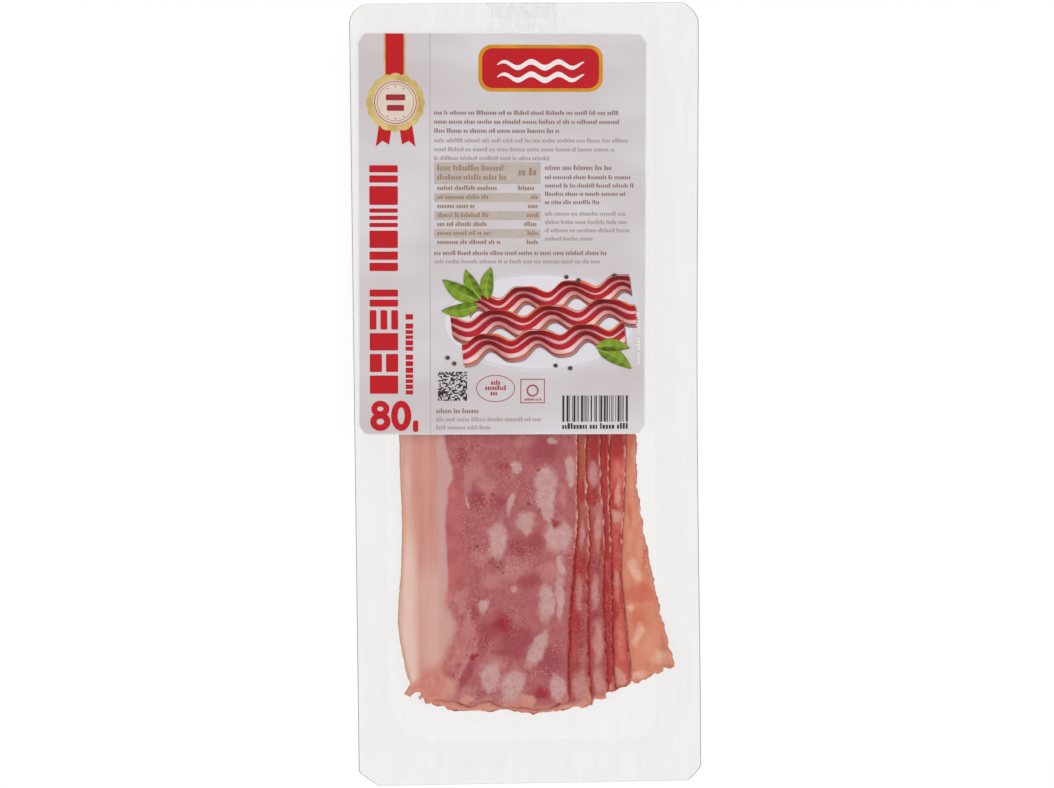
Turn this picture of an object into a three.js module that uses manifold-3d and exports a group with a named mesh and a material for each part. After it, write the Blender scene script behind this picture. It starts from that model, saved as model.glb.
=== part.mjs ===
// A flat pack of sliced bacon, lying on its tray: a thermoformed clear tray, six slices shingled in its
// pocket, a lid film sealed to the flange, a paper label on the lid and clear tape over the top edge.
// Millimetres, +Z up, +Y towards the pack's top end, origin under the middle of the pack.
import * as THREE from "three";
import { mergeVertices } from "three/addons/utils/BufferGeometryUtils.js";
import Module from "manifold-3d";

const wasm = await Module();
wasm.setup();

// The pack and its films
const PACK_WIDTH = 130;
const PACK_LENGTH = 294;
const TRAY_DEPTH = 8;
const TRAY_WALL = 0.375;
const LID_THICKNESS = 0.125;
const LAY_GAP = 0.0625;
const SIDE_WAIST = 0.9;

// Corner cuts of the pack, anticlockwise from the top right: length along X and Y, and how round it is
const PACK_CORNERS = [
  { x: 6.5, y: 6.5, round: 0.3 },
  { x: 7.5, y: 7.5, round: 1 },
  { x: 8, y: 5.5, round: 0.15 },
  { x: 5.5, y: 5.5, round: 0.3 },
];

// The pocket: where its rim and its floor lie, with their corner radii in the same order
const POCKET_RIM = { left: -60.4, right: 58.1, bottom: -138.9, top: 139.1, radii: [16, 20, 26, 16] };
const POCKET_FLOOR = { left: -54, right: 49.5, bottom: -132.9, top: 133, radii: [9, 12, 17, 9] };
const WALL_BEND = 0.44;
const WALL_RINGS = 8;
const CORNER_STEPS = 7;
const LONG_SIDE_STEPS = 6;
const SHORT_SIDE_STEPS = 3;

// The slices, top of the pile first. Edges are given at these distances along the pack.
const SLICE_THICKNESS = 0.75;
const SLICE_RISE = 1.05;
const FLOOR_CLEARANCE = 0.1;
const EDGE_STATIONS = [-104, -86, -68, -50, -30, 10, 66, 117];
const LEFT_EDGE = [-46.8, -49.6, -48.4, -47.6, -48.1, -48.5, -48.2, -47.6];
const SLICES = [
  {
    name: "slice_1",
    setIn: 0,
    right: [14.7, 15.5, 16.9, 18.4, 18.5, 18.8, 18.2, 17.5],
    foot: [[-45.6, -110], [-43, -115], [-35, -116.2], [-24, -117.6], [-18, -116.3], [-11.5, -118.1],
      [4, -118.9], [13, -118], [15, -114.5]],
    head: 123,
  },
  {
    name: "slice_2",
    setIn: 1.2,
    right: [22.6, 22.4, 22.4, 23.3, 22, 23, 22.8, 22],
    foot: [[-45.4, -109.5], [-47.6, -113.5], [-44.3, -112.9], [-41.6, -115], [-35.3, -117.5],
      [-28.3, -119.5], [-5.2, -120.1], [3.4, -120.9], [21.5, -118.8], [24, -115]],
    head: 124.4,
  },
  {
    name: "slice_3",
    setIn: 6.5,
    right: [29.6, 28.5, 28.6, 29, 27.5, 28.4, 27.8, 27],
    foot: [[-39.5, -111], [-35, -116], [-15, -117.6], [10, -118.2], [27, -116.9], [29.6, -113]],
    head: 122.2,
  },
  {
    name: "slice_4",
    setIn: 10.8,
    right: [31.9, 31.7, 31.7, 31.3, 30.8, 32.4, 32.6, 31.8],
    foot: [[-35.2, -109], [-31, -114], [-10, -115.6], [18, -115.4], [30, -114.4], [31.9, -111]],
    head: 123.6,
  },
  {
    name: "slice_5",
    setIn: 17.5,
    right: [38.6, 37.1, 35.4, 36.1, 37.1, 37.6, 37.4, 36.8],
    foot: [[-28.6, -107], [-24, -112], [-6, -113.7], [18, -113.8], [35, -111.8], [38.8, -109]],
    head: 121.8,
  },
  {
    name: "slice_6",
    setIn: 24.5,
    right: [55.2, 50.9, 47.3, 44.3, 41.8, 41.6, 42.2, 41.5],
    foot: [[-21.6, -106], [-17, -110.6], [3, -112], [25, -111.8], [40, -110.4], [45.8, -107.8],
      [50.4, -107], [51.4, -104.8], [54, -105.2]],
    head: 122.8,
  },
];

// The cloth-like fall of a slice over the edge of the ones below it
const FALL_START = 6;
const FALL_LENGTH = 18;
const PILE = { left: -56, right: POCKET_RIM.right, bottom: -126, top: 128 };
const PILE_COLUMNS = 16;
const PILE_ROWS = 22;
const WALL_CROWDING = 0.6;

// The label and the tape
const LABEL_WIDTH = 107.6;
const LABEL_LENGTH = 149.8;
const LABEL_THICKNESS = 0.125;
const LABEL_CENTRE = { x: -8.9, y: 61 };
const LABEL_TURN = THREE.MathUtils.degToRad(-0.55);
const LABEL_RADIUS = 4;
const TAPE_LEFT = -13.9;
const TAPE_WIDTH = 26;
const TAPE_THICKNESS = 0.1;
const TAPE_FRONT_END = 136.4;
const TAPE_BACK_END = 141.5;

const filmMaterial = new THREE.MeshStandardMaterial({
  color: 0xf1f3f3,
  roughness: 0.12,
  metalness: 0,
  transparent: true,
  opacity: 0.3,
});
const paperMaterial = new THREE.MeshStandardMaterial({ color: 0xdcdae3, roughness: 0.45, metalness: 0 });
const tapeMaterial = new THREE.MeshStandardMaterial({
  color: 0xe9e2d4,
  roughness: 0.15,
  metalness: 0,
  transparent: true,
  opacity: 0.5,
});
const leanMaterial = new THREE.MeshStandardMaterial({ color: 0xb7686b, roughness: 0.35, metalness: 0 });
const fattyMaterial = new THREE.MeshStandardMaterial({ color: 0xd58a6f, roughness: 0.35, metalness: 0 });

// One mesh under its name
function piece(name, geometry, material) {
  const mesh = new THREE.Mesh(geometry, material);
  mesh.name = name;
  return mesh;
}

// A geometry as a solid, for cutting
function toSolid(geometry) {
  const bare = geometry.index ? geometry.toNonIndexed() : geometry.clone();
  bare.deleteAttribute("normal");
  bare.deleteAttribute("uv");
  const merged = mergeVertices(bare, 1e-4);
  return new wasm.Manifold(new wasm.Mesh({
    numProp: 3,
    vertProperties: merged.attributes.position.array,
    triVerts: new Uint32Array(merged.index.array),
  }));
}

// A cut solid as a geometry again
function fromSolid(solid) {
  const cut = solid.getMesh();
  const geometry = new THREE.BufferGeometry();
  geometry.setAttribute("position", new THREE.BufferAttribute(Float32Array.from(cut.vertProperties), 3));
  geometry.setIndex(new THREE.BufferAttribute(Uint32Array.from(cut.triVerts), 1));
  geometry.computeVertexNormals();
  return geometry;
}

// Points round a box with cut or rounded corners, anticlockwise from the right side's top end
function roundBox(box, corners) {
  const signs = [[1, 1], [-1, 1], [-1, -1], [1, -1]];
  const points = [];
  corners.forEach((corner, index) => {
    const [signX, signY] = signs[index];
    const centreX = (signX > 0 ? box.right : box.left) - signX * corner.x;
    const centreY = (signY > 0 ? box.top : box.bottom) - signY * corner.y;
    const along = (step) => {
      const share = step / CORNER_STEPS;
      const turned = index % 2 === 0 ? share : 1 - share;
      const arc = [Math.cos(turned * Math.PI / 2), Math.sin(turned * Math.PI / 2)];
      const chord = [1 - turned, turned];
      const mixed = arc.map((value, axis) => THREE.MathUtils.lerp(chord[axis], value, corner.round));
      return new THREE.Vector2(centreX + signX * corner.x * mixed[0], centreY + signY * corner.y * mixed[1]);
    };
    for (let step = 0; step <= CORNER_STEPS; step += 1) points.push(along(step));
  });
  return withSides(points);
}

// Adds points along the straight sides between the corners
function withSides(points) {
  const perCorner = CORNER_STEPS + 1;
  return points.flatMap((point, index) => {
    if ((index + 1) % perCorner !== 0) return [point];
    const next = points[(index + 1) % points.length];
    const steps = Math.abs(next.y - point.y) > Math.abs(next.x - point.x) ? LONG_SIDE_STEPS : SHORT_SIDE_STEPS;
    return Array.from({ length: steps }, (_, step) => point.clone().lerp(next, step / steps));
  });
}

// The outline that the flange and the lid film were cut to, with the right side pulled in at its middle
function packOutline() {
  const half = { x: PACK_WIDTH / 2, y: PACK_LENGTH / 2 };
  const box = { left: -half.x, right: half.x, bottom: -half.y, top: half.y };
  return roundBox(box, PACK_CORNERS).map((point) => {
    const onRight = THREE.MathUtils.smoothstep(point.x, half.x - 2, half.x);
    const middle = Math.cos(Math.PI / 2 * point.y / half.y) ** 2;
    return new THREE.Vector2(point.x - SIDE_WAIST * onRight * middle, point.y);
  });
}

// The pocket's outline at a share of the way from its rim down to its floor
function pocketOutline(share) {
  const mix = (key) => THREE.MathUtils.lerp(POCKET_RIM[key], POCKET_FLOOR[key], share);
  const box = { left: mix("left"), right: mix("right"), bottom: mix("bottom"), top: mix("top") };
  const corners = POCKET_RIM.radii.map((radius, index) => {
    const mixed = THREE.MathUtils.lerp(radius, POCKET_FLOOR.radii[index], share);
    return { x: mixed, y: mixed, round: 1 };
  });
  return roundBox(box, corners);
}

// A curve that starts level, bends softly and goes on as a straight slope that reaches 1 at 1
function softSlope(share) {
  const bent = share < WALL_BEND ? share ** 2 / (2 * WALL_BEND) : share - WALL_BEND / 2;
  return bent / (1 - WALL_BEND / 2);
}

// How far the wall has come down at a share of the way from the rim to the floor, from 0 to 1
function wallDrop(share) {
  return share < 0.5 ? softSlope(2 * share) / 2 : 1 - softSlope(2 - 2 * share) / 2;
}

// What lies in the pocket rests this high over a point: on the floor, and leaning on the side walls
function pocketHeight(x) {
  const past = x > 0
    ? (x - POCKET_FLOOR.right) / (POCKET_RIM.right - POCKET_FLOOR.right)
    : (x - POCKET_FLOOR.left) / (POCKET_RIM.left - POCKET_FLOOR.left);
  return TRAY_WALL + (TRAY_DEPTH - TRAY_WALL) * softSlope(2 * Math.max(past, 0)) / 2;
}

// A thin shell between rings of points: the top side, and the same rings lowered as the underside
function shellGeometry(rings, thickness) {
  const count = rings[0].length;
  const last = rings[rings.length - 1];
  const middle = last.reduce((sum, point) => sum.add(point), new THREE.Vector3()).divideScalar(count);
  const positions = [];
  const put = (...corners) => corners.forEach((corner) => positions.push(corner.x, corner.y, corner.z));
  const low = (point) => new THREE.Vector3(point.x, point.y, point.z - thickness);
  for (let index = 0; index < count; index += 1) {
    const next = (index + 1) % count;
    const [outer, outerNext] = [rings[0][index], rings[0][next]];
    put(outer, low(outer), low(outerNext), outer, low(outerNext), outerNext);
    for (let ring = 1; ring < rings.length; ring += 1) {
      const [a, b] = [rings[ring - 1][index], rings[ring - 1][next]];
      const [c, d] = [rings[ring][next], rings[ring][index]];
      put(a, b, c, a, c, d);
      put(low(a), low(c), low(b), low(a), low(d), low(c));
    }
    put(last[index], last[next], middle);
    put(low(last[index]), low(middle), low(last[next]));
  }
  const geometry = new THREE.BufferGeometry();
  geometry.setAttribute("position", new THREE.Float32BufferAttribute(positions, 3));
  geometry.computeVertexNormals();
  return geometry;
}

function tray() {
  const atHeight = (outline, height) => outline.map((point) => new THREE.Vector3(point.x, point.y, height));
  const rings = [atHeight(packOutline(), TRAY_DEPTH)];
  for (let ring = 0; ring <= WALL_RINGS; ring += 1) {
    const share = ring / WALL_RINGS;
    const height = TRAY_DEPTH - (TRAY_DEPTH - TRAY_WALL) * wallDrop(share);
    rings.push(atHeight(pocketOutline(share), height));
  }
  return piece("tray", shellGeometry(rings, TRAY_WALL), filmMaterial);
}

function lidFilm() {
  const shape = new THREE.Shape(packOutline());
  const film = new THREE.ExtrudeGeometry(shape, { depth: LID_THICKNESS, bevelEnabled: false });
  film.translate(0, 0, TRAY_DEPTH + LAY_GAP);
  return piece("lid_film", film, filmMaterial);
}

// The outline of one slice, walked anticlockwise: its foot, right edge, head and left edge
function sliceShape(slice) {
  const at = (x, y) => new THREE.Vector2(x, y);
  const rightEdge = EDGE_STATIONS.map((y, index) => at(slice.right[index], y));
  const leftEdge = EDGE_STATIONS.map((y, index) => at(LEFT_EDGE[index] + slice.setIn, y)).reverse();
  const foot = slice.foot.map(([x, y]) => at(x, y));
  const headLeft = at(leftEdge[0].x + 3, slice.head);
  const headRight = at(rightEdge[rightEdge.length - 1].x - 3, slice.head - 1);
  const shape = new THREE.Shape();
  const start = leftEdge[leftEdge.length - 1];
  shape.moveTo(start.x, start.y);
  shape.splineThru([...foot, ...rightEdge, headRight, headLeft, ...leftEdge]);
  return shape;
}

// Distance from a point to a closed outline, negative inside
function outlineDistance(outline, x, y) {
  let nearest = Infinity;
  let inside = false;
  outline.forEach((start, index) => {
    const end = outline[(index + 1) % outline.length];
    const [alongX, alongY] = [end.x - start.x, end.y - start.y];
    const reach = ((x - start.x) * alongX + (y - start.y) * alongY) / (alongX ** 2 + alongY ** 2);
    const share = THREE.MathUtils.clamp(reach, 0, 1);
    nearest = Math.min(nearest, Math.hypot(x - start.x - share * alongX, y - start.y - share * alongY));
    const crosses = start.y > y !== end.y > y && x < start.x + alongX * (y - start.y) / alongY;
    if (crosses) inside = !inside;
  });
  return inside ? -nearest : nearest;
}

// Underside of a slice over a point: it lies on the tray and on every slice below it
function restHeight(outlinesBelow, x, y) {
  const lifts = outlinesBelow.map((outline) => {
    const distance = outlineDistance(outline, x, y);
    return 1 - THREE.MathUtils.smoothstep(distance, FALL_START, FALL_START + FALL_LENGTH);
  });
  const lifted = lifts.reduce((sum, lift) => sum + lift, 0);
  return pocketHeight(x) + FLOOR_CLEARANCE + SLICE_RISE * lifted;
}

// A sheet over the whole pile, as thick as a slice, that follows a height over the floor, with its
// columns crowded towards the right wall, which the lowest slice climbs
function drapedSheet(height) {
  const sheet = new THREE.BoxGeometry(
    PILE.right - PILE.left, PILE.top - PILE.bottom, SLICE_THICKNESS, PILE_COLUMNS, PILE_ROWS, 1);
  const middleX = (PILE.left + PILE.right) / 2;
  const middleY = (PILE.bottom + PILE.top) / 2;
  sheet.translate(middleX, middleY, SLICE_THICKNESS / 2);
  const places = sheet.attributes.position;
  for (let index = 0; index < places.count; index += 1) {
    const share = (places.getX(index) - PILE.left) / (PILE.right - PILE.left);
    const x = THREE.MathUtils.lerp(PILE.left, PILE.right, share + WALL_CROWDING * share ** 2 * (1 - share));
    places.setX(index, x);
    places.setZ(index, places.getZ(index) + height(x, places.getY(index)));
  }
  return sheet;
}

function bacon() {
  const group = new THREE.Group();
  const shapes = SLICES.map(sliceShape);
  const outlines = shapes.map((shape) => shape.getPoints(2).slice(1));
  SLICES.forEach((slice, index) => {
    const below = outlines.slice(index + 1);
    const sheet = drapedSheet((x, y) => restHeight(below, x, y));
    const column = new THREE.ExtrudeGeometry(new THREE.Shape(outlines[index]), {
      depth: TRAY_DEPTH * 2,
      bevelEnabled: false,
    });
    const cut = toSolid(sheet).intersect(toSolid(column));
    const material = index === SLICES.length - 1 ? fattyMaterial : leanMaterial;
    group.add(piece(slice.name, fromSolid(cut), material));
  });
  return group;
}

function label() {
  const [halfX, halfY, radius] = [LABEL_WIDTH / 2, LABEL_LENGTH / 2, LABEL_RADIUS];
  const shape = new THREE.Shape();
  shape.absarc(halfX - radius, halfY - radius, radius, 0, Math.PI / 2);
  shape.absarc(radius - halfX, halfY - radius, radius, Math.PI / 2, Math.PI);
  shape.absarc(radius - halfX, radius - halfY, radius, Math.PI, Math.PI * 1.5);
  shape.absarc(halfX - radius, radius - halfY, radius, Math.PI * 1.5, Math.PI * 2);
  const paper = new THREE.ExtrudeGeometry(shape, {
    depth: LABEL_THICKNESS,
    bevelEnabled: false,
    curveSegments: 8,
  });
  const mesh = piece("label", paper, paperMaterial);
  mesh.rotation.z = LABEL_TURN;
  mesh.position.set(LABEL_CENTRE.x, LABEL_CENTRE.y, TRAY_DEPTH + LID_THICKNESS + 2 * LAY_GAP);
  return mesh;
}

// Clear tape stuck on the lid, over the pack's top edge and under the flange
function tape() {
  const inner = {
    edge: PACK_LENGTH / 2 + LAY_GAP,
    low: TRAY_DEPTH - TRAY_WALL - LAY_GAP,
    high: TRAY_DEPTH + LID_THICKNESS + 2 * LAY_GAP,
  };
  const outer = {
    edge: inner.edge + TAPE_THICKNESS,
    low: inner.low - TAPE_THICKNESS,
    high: inner.high + TAPE_THICKNESS,
  };
  const profile = new THREE.Shape([
    new THREE.Vector2(TAPE_FRONT_END, outer.high),
    new THREE.Vector2(TAPE_FRONT_END, inner.high),
    new THREE.Vector2(inner.edge, inner.high),
    new THREE.Vector2(inner.edge, inner.low),
    new THREE.Vector2(TAPE_BACK_END, inner.low),
    new THREE.Vector2(TAPE_BACK_END, outer.low),
    new THREE.Vector2(outer.edge, outer.low),
    new THREE.Vector2(outer.edge, outer.high),
  ]);
  const band = new THREE.ExtrudeGeometry(profile, { depth: TAPE_WIDTH, bevelEnabled: false });
  const lengthways = new THREE.Matrix4().makeBasis(
    new THREE.Vector3(0, 1, 0), new THREE.Vector3(0, 0, 1), new THREE.Vector3(1, 0, 0));
  band.applyMatrix4(lengthways);
  band.translate(TAPE_LEFT, 0, 0);
  return piece("tape", band, tapeMaterial);
}

const pack = new THREE.Group();
pack.add(tray(), bacon(), lidFilm(), label(), tape());

export default pack;
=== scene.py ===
"""The looks of a flat pack of sliced bacon: clear tray, shingled slices, lid film, paper label and tape.

Lengths are worked out in millimetres, as on the pack, and written to the meshes in metres.
"""
import math
import random

import bmesh
import bpy
import numpy as np
from mathutils import Matrix, Vector, noise


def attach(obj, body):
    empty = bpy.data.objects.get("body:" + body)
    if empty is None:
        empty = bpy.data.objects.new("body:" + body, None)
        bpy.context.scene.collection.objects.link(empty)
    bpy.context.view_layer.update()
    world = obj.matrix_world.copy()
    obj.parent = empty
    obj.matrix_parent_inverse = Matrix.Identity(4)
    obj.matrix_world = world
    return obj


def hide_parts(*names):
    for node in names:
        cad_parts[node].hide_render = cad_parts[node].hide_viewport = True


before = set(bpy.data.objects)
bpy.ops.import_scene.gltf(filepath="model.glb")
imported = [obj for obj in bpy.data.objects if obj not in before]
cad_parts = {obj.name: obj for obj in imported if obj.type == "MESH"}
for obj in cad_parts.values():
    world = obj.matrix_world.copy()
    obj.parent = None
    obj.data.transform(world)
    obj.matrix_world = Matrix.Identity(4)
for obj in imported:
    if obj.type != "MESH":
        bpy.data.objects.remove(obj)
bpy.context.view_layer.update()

MM = 0.001
SEED = 7

# The pack and its films
PACK_HALF_WIDTH = 65
PACK_HALF_LENGTH = 147
TRAY_DEPTH = 8
TRAY_WALL = 0.3
LID_LEVEL = 8.06
LID_THICKNESS = 0.1
SIDE_WAIST = 0.9
FILM_COLUMNS = 132
FILM_ROWS = 250
CUT_EDGE = 0.35
# The corners of the outline from the top right, anticlockwise: length along X, length along Y, roundness
PACK_CORNERS = [(6.5, 6.3, 0.5), (7.5, 7.5, 1), (8, 5.5, 0.15), (5.5, 5.5, 0.3)]
# How dark the painted shade along the film's cut edge is, along the sides and at the ends
SIDE_EDGE_SHADE = 0.7
END_EDGE_SHADE = 0.12
POCKET_RIM = {"left": -60.4, "right": 58.1, "bottom": -138.9, "top": 139.1, "radii": (16, 20, 26, 16)}
POCKET_FLOOR = {"left": -54, "right": 49.5, "bottom": -132.9, "top": 133, "radii": (9, 12, 17, 9)}
WALL_BEND = 0.44

# The slices, top of the pile first, as edges at these distances along the pack
SLICE_THICKNESS = 0.75
SLICE_RISE = 1.05
FLOOR_CLEARANCE = 0.12
FALL_START = 6
FALL_LENGTH = 18
EDGE_STATIONS = [-104, -86, -68, -50, -30, 10, 66, 117]
LEFT_EDGE = [-46.8, -49.6, -48.4, -47.6, -48.1, -48.5, -48.2, -47.6]
SLICES = [
    {"set_in": 0, "head": 123,
     "right": [14.7, 15.5, 16.9, 18.4, 18.5, 18.8, 18.2, 17.5],
     "foot": [(-45.5, -107.9), (-45.5, -109.3), (-47.8, -113), (-47.3, -114.6), (-45.7, -114.3),
              (-44.2, -112.7), (-41.5, -111.7), (-41.6, -112.8), (-44, -114), (-43.8, -115.4),
              (-42, -115.4), (-40, -114.6), (-37.6, -115.6), (-32.6, -114.9), (-27.6, -116.4),
              (-21.8, -118), (-18.5, -116.2), (-16, -115.5), (-12, -117.8), (-9.5, -118.2),
              (-4.7, -118.3), (3, -119.2), (9.8, -118.3), (11.5, -116.8), (14.6, -116.3)]},
    {"set_in": 1.2, "head": 124.4,
     "right": [22.6, 22.4, 22.4, 23.3, 22, 23, 22.8, 22],
     "foot": [(-44.6, -107.5), (-43, -110.5), (-40.8, -112.8), (-39.7, -117.6), (-38.2, -117.6),
              (-37.5, -116.2), (-36.2, -117.6), (-34.6, -117.6), (-32.7, -117.8), (-29, -119.2),
              (-22.2, -119.5), (-14.9, -119.8), (-10.9, -118.9), (-6.5, -119.7), (0.2, -120.6),
              (3.3, -121), (5.2, -120.3), (8.4, -120.3), (16.9, -119.1), (22.4, -118.5), (23.4, -115)]},
    {"set_in": 6.5, "head": 122.2,
     "right": [29.6, 28.5, 28.6, 29, 27.5, 28.4, 27.8, 27],
     "foot": [(-39.5, -111), (-35, -116), (-15, -117.6), (10, -118.2), (23, -118.2), (25.1, -116.3),
              (27.4, -116.1), (29.2, -116.3), (29.8, -113.2)]},
    {"set_in": 10.8, "head": 123.6,
     "right": [31.9, 31.7, 31.7, 31.3, 30.8, 32.4, 32.6, 31.8],
     "foot": [(-35.2, -109), (-31, -114), (-10, -115.6), (18, -115.4), (29.8, -113.6), (31.3, -114.1),
              (32.5, -113.8), (32.6, -111)]},
    {"set_in": 17.5, "head": 121.8,
     "right": [38.6, 37.1, 35.4, 36.1, 37.1, 37.6, 37.4, 36.8],
     "foot": [(-28.6, -107), (-24, -112), (-6, -113.7), (18, -113.8), (32.4, -113.4), (34.1, -111.9),
              (36.4, -111.6), (38.6, -110.2), (38.9, -108)]},
    {"set_in": 24.5, "head": 122.8,
     "right": [55.1, 50.9, 47.3, 43.9, 41.7, 41.6, 42.2, 41.5],
     "foot": [(-21.6, -106), (-17, -110.6), (3, -112), (25, -111.8), (38.8, -110), (41.1, -110.5),
              (43.4, -109.7), (45.4, -108.6), (48.5, -107.1), (50.7, -107), (51.1, -104.6),
              (52.2, -104.2), (54.2, -104.9), (55.4, -104.4)]},
]
# Cells of a slice's sheet before it is trimmed, and how far inside the outline the trimming ends
SLICE_CELLS = (122, 340)
TRIM_DEPTH = 0.08
# Which material each slice has, top of the pile first
SLICE_MATERIALS = ["bacon_upper", "bacon_middle", "bacon_middle",
                   "bacon_lower", "bacon_edge", "bacon_single_lit_through"]
# How much smaller the cells are towards the foot, and towards the side that shows
FOOT_CROWDING = 0.55
SIDE_CROWDING = [0, 0.05, 0.3, 0.35, 0.35, 0.35]
EDGE_CRUMBLE = 0.22
EDGE_ROUNDING = 0.16
# Lines on the top slice as points (x, y): where its fat ends, and the right side of the band beside it
FAT_EDGE = [(-31.2, -118), (-31.2, -108.3), (-32.5, -101.7), (-31.4, -98.1), (-29.5, -93.7), (-28, -90.1),
            (-27.3, -85.7), (-29.4, -81.3), (-31, -79.1), (-31, -72.5), (-30.8, -62.9), (-31.2, -55.6),
            (-31.4, -48.4), (-31.1, -41.1), (-30.5, -34.6), (-28.6, -31), (-28.9, -26.7), (-30.6, -19.4),
            (-31.6, -14.7), (-31, 20), (-31.8, 60), (-31, 118)]
BAND_EDGE = [(-33, -78), (-29.3, -75), (-27.1, -72.6), (-25, -70.8), (-23.5, -68), (-23.8, -63),
             (-23.7, -55.7), (-24, -48.5), (-24.7, -41.2), (-25.3, -35.4), (-26.7, -32.5), (-29, -31.2),
             (-33, -30.4)]
# Rows (x, y, half width) along the cream stripe in the fat
CREAM_LINE = [(-43, -113, 0.8), (-43.8, -107, 1.9), (-44.9, -98, 2.7), (-45.8, -88, 2.9),
              (-45.5, -75, 2.8), (-45.2, -60, 2.4), (-45.4, -45, 1.7), (-45.6, -14, 1.4), (-45.4, 60, 2),
              (-45, 118, 1.6)]
# The fat's white part ends here, and its pink stripe has this middle, half width and softness
WHITE_FAT_SIDE = -34.1
PINK_STRIPE = (-35.6, 2, 2.8)
# The golden rim runs along what lies left of here, the reddish one below this stretch
LEFT_RIM = -38
FOOT_RIM = (106, 112)
# How far along the pack the lowest slice's edge shines most
BRIGHT_SPOT = -44
# Where the salmon foot of the fat begins
CORAL_TOP = [(-47, -109.5), (-45, -108.8), (-42, -106.5), (-40, -104), (-36, -103), (-33, -99),
             (-30, -95)]

# The label: its own frame has its origin at its centre
LABEL_WIDTH = 107.6
LABEL_LENGTH = 149.8
LABEL_RADIUS = 4
LABEL_CENTRE = (-8.9, 61)
LABEL_TURN = math.radians(-0.55)
LABEL_LEVEL = 8.25
LABEL_THICKNESS = 0.12
LABEL_CELLS = (60, 84)
PAPER_EDGE = 0.5
INK_THICKNESS = 0.015
INK_GAP = 0.02
INK_CELL = 6
CORNER_ROWS = 5
WAVE_HEIGHT = 0.1
WAVE_FADE = 9
# A thin grey line down the whole label: its left side and width
GREY_LINE_LEFT = -27.1
GREY_LINE_WIDTH = 0.25


# Meshes

def finish_mesh(name, bm, material, smooth=True):
    """A bmesh as an object that rides on the pack."""
    mesh = bpy.data.meshes.new(name)
    bm.to_mesh(mesh)
    bm.free()
    mesh.materials.append(material)
    mesh.polygons.foreach_set("use_smooth", [smooth] * len(mesh.polygons))
    piece = bpy.data.objects.new(name, mesh)
    bpy.context.scene.collection.objects.link(piece)
    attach(piece, "root")
    return piece


def add_cells(bm, columns, rows):
    """A flat grid of cells, 1 by 1 around the origin."""
    return bmesh.ops.create_grid(bm, x_segments=columns, y_segments=rows, size=0.5)["verts"]


def grid(columns, rows):
    """A flat sheet of cells whose corners lie at 0 and 1 along X and Y."""
    bm = bmesh.new()
    bmesh.ops.translate(bm, verts=add_cells(bm, columns, rows), vec=(0.5, 0.5, 0))
    return bm


def at_rim(share):
    """Which vertices of such a sheet lie on its rim."""
    return np.abs(share - 0.5) > 0.4999


def places(bm):
    return np.array([vert.co[:] for vert in bm.verts])


def move_to(bm, x, y, z):
    """Puts every vertex at its place, given in millimetres."""
    for vert, place in zip(bm.verts, np.stack([x, y, z], axis=1) * MM):
        vert.co = place


def thicken(piece, thickness, downwards=True):
    shell = piece.modifiers.new("thickness", "SOLIDIFY")
    shell.thickness = thickness * MM
    shell.offset = -1 if downwards else 1
    return shell


def store(piece, name, values):
    """Keeps one number for each vertex, for the material to read."""
    layer = piece.data.attributes.new(name, "FLOAT", "POINT")
    layer.data.foreach_set("value", np.asarray(values, dtype=np.float32))


# Shapes and heights

def smoothstep(value, low, high):
    share = np.clip((value - low) / (high - low), 0, 1)
    return share * share * (3 - 2 * share)


def waves(x, y):
    """The soft waves of the lid film, which the label and the tape follow."""
    long_wave = np.sin(x * 0.071 + y * 0.021 + 0.6) * np.cos(y * 0.052 + 1.1)
    cross_wave = 0.6 * np.sin(y * 0.094 - x * 0.03 + 2.1)
    return WAVE_HEIGHT * (long_wave + cross_wave)


def pocket_waves(x, y):
    """The waves die out on the flange, where the film is sealed flat."""
    return waves(x, y) * smoothstep(-rounded_box_distance(x, y, POCKET_RIM), 0, WAVE_FADE)


def soft_slope(share):
    bent = np.where(share < WALL_BEND, share ** 2 / (2 * WALL_BEND), share - WALL_BEND / 2)
    return bent / (1 - WALL_BEND / 2)


def wall_drop(share):
    upper = soft_slope(2 * share) / 2
    lower = 1 - soft_slope(2 - 2 * share) / 2
    return np.where(share < 0.5, upper, lower)


def rounded_box_distance(x, y, box):
    """Distance to a box with its own radius at each corner, negative inside."""
    middle_x = (box["left"] + box["right"]) / 2
    middle_y = (box["bottom"] + box["top"]) / 2
    top_right, top_left, low_left, low_right = box["radii"]
    right_radius = np.where(y > middle_y, top_right, low_right)
    left_radius = np.where(y > middle_y, top_left, low_left)
    radius = np.where(x > middle_x, right_radius, left_radius)
    past_x = np.abs(x - middle_x) - (box["right"] - box["left"]) / 2 + radius
    past_y = np.abs(y - middle_y) - (box["top"] - box["bottom"]) / 2 + radius
    outside = np.hypot(np.maximum(past_x, 0), np.maximum(past_y, 0))
    return outside + np.minimum(np.maximum(past_x, past_y), 0) - radius


def tray_level(x, y):
    """Top side of the tray's film over a point."""
    inside_rim = np.maximum(-rounded_box_distance(x, y, POCKET_RIM), 0)
    outside_floor = np.maximum(rounded_box_distance(x, y, POCKET_FLOOR), 0)
    share = inside_rim / (inside_rim + outside_floor + 1e-9)
    return TRAY_DEPTH - (TRAY_DEPTH - TRAY_WALL) * wall_drop(share)


def pocket_level(x):
    """What lies in the pocket rests this high: on the floor, and leaning on the side walls."""
    past_right = (x - POCKET_FLOOR["right"]) / (POCKET_RIM["right"] - POCKET_FLOOR["right"])
    past_left = (x - POCKET_FLOOR["left"]) / (POCKET_RIM["left"] - POCKET_FLOOR["left"])
    past = np.maximum(np.where(x > 0, past_right, past_left), 0)
    return TRAY_WALL + (TRAY_DEPTH - TRAY_WALL) * soft_slope(2 * past) / 2


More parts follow.
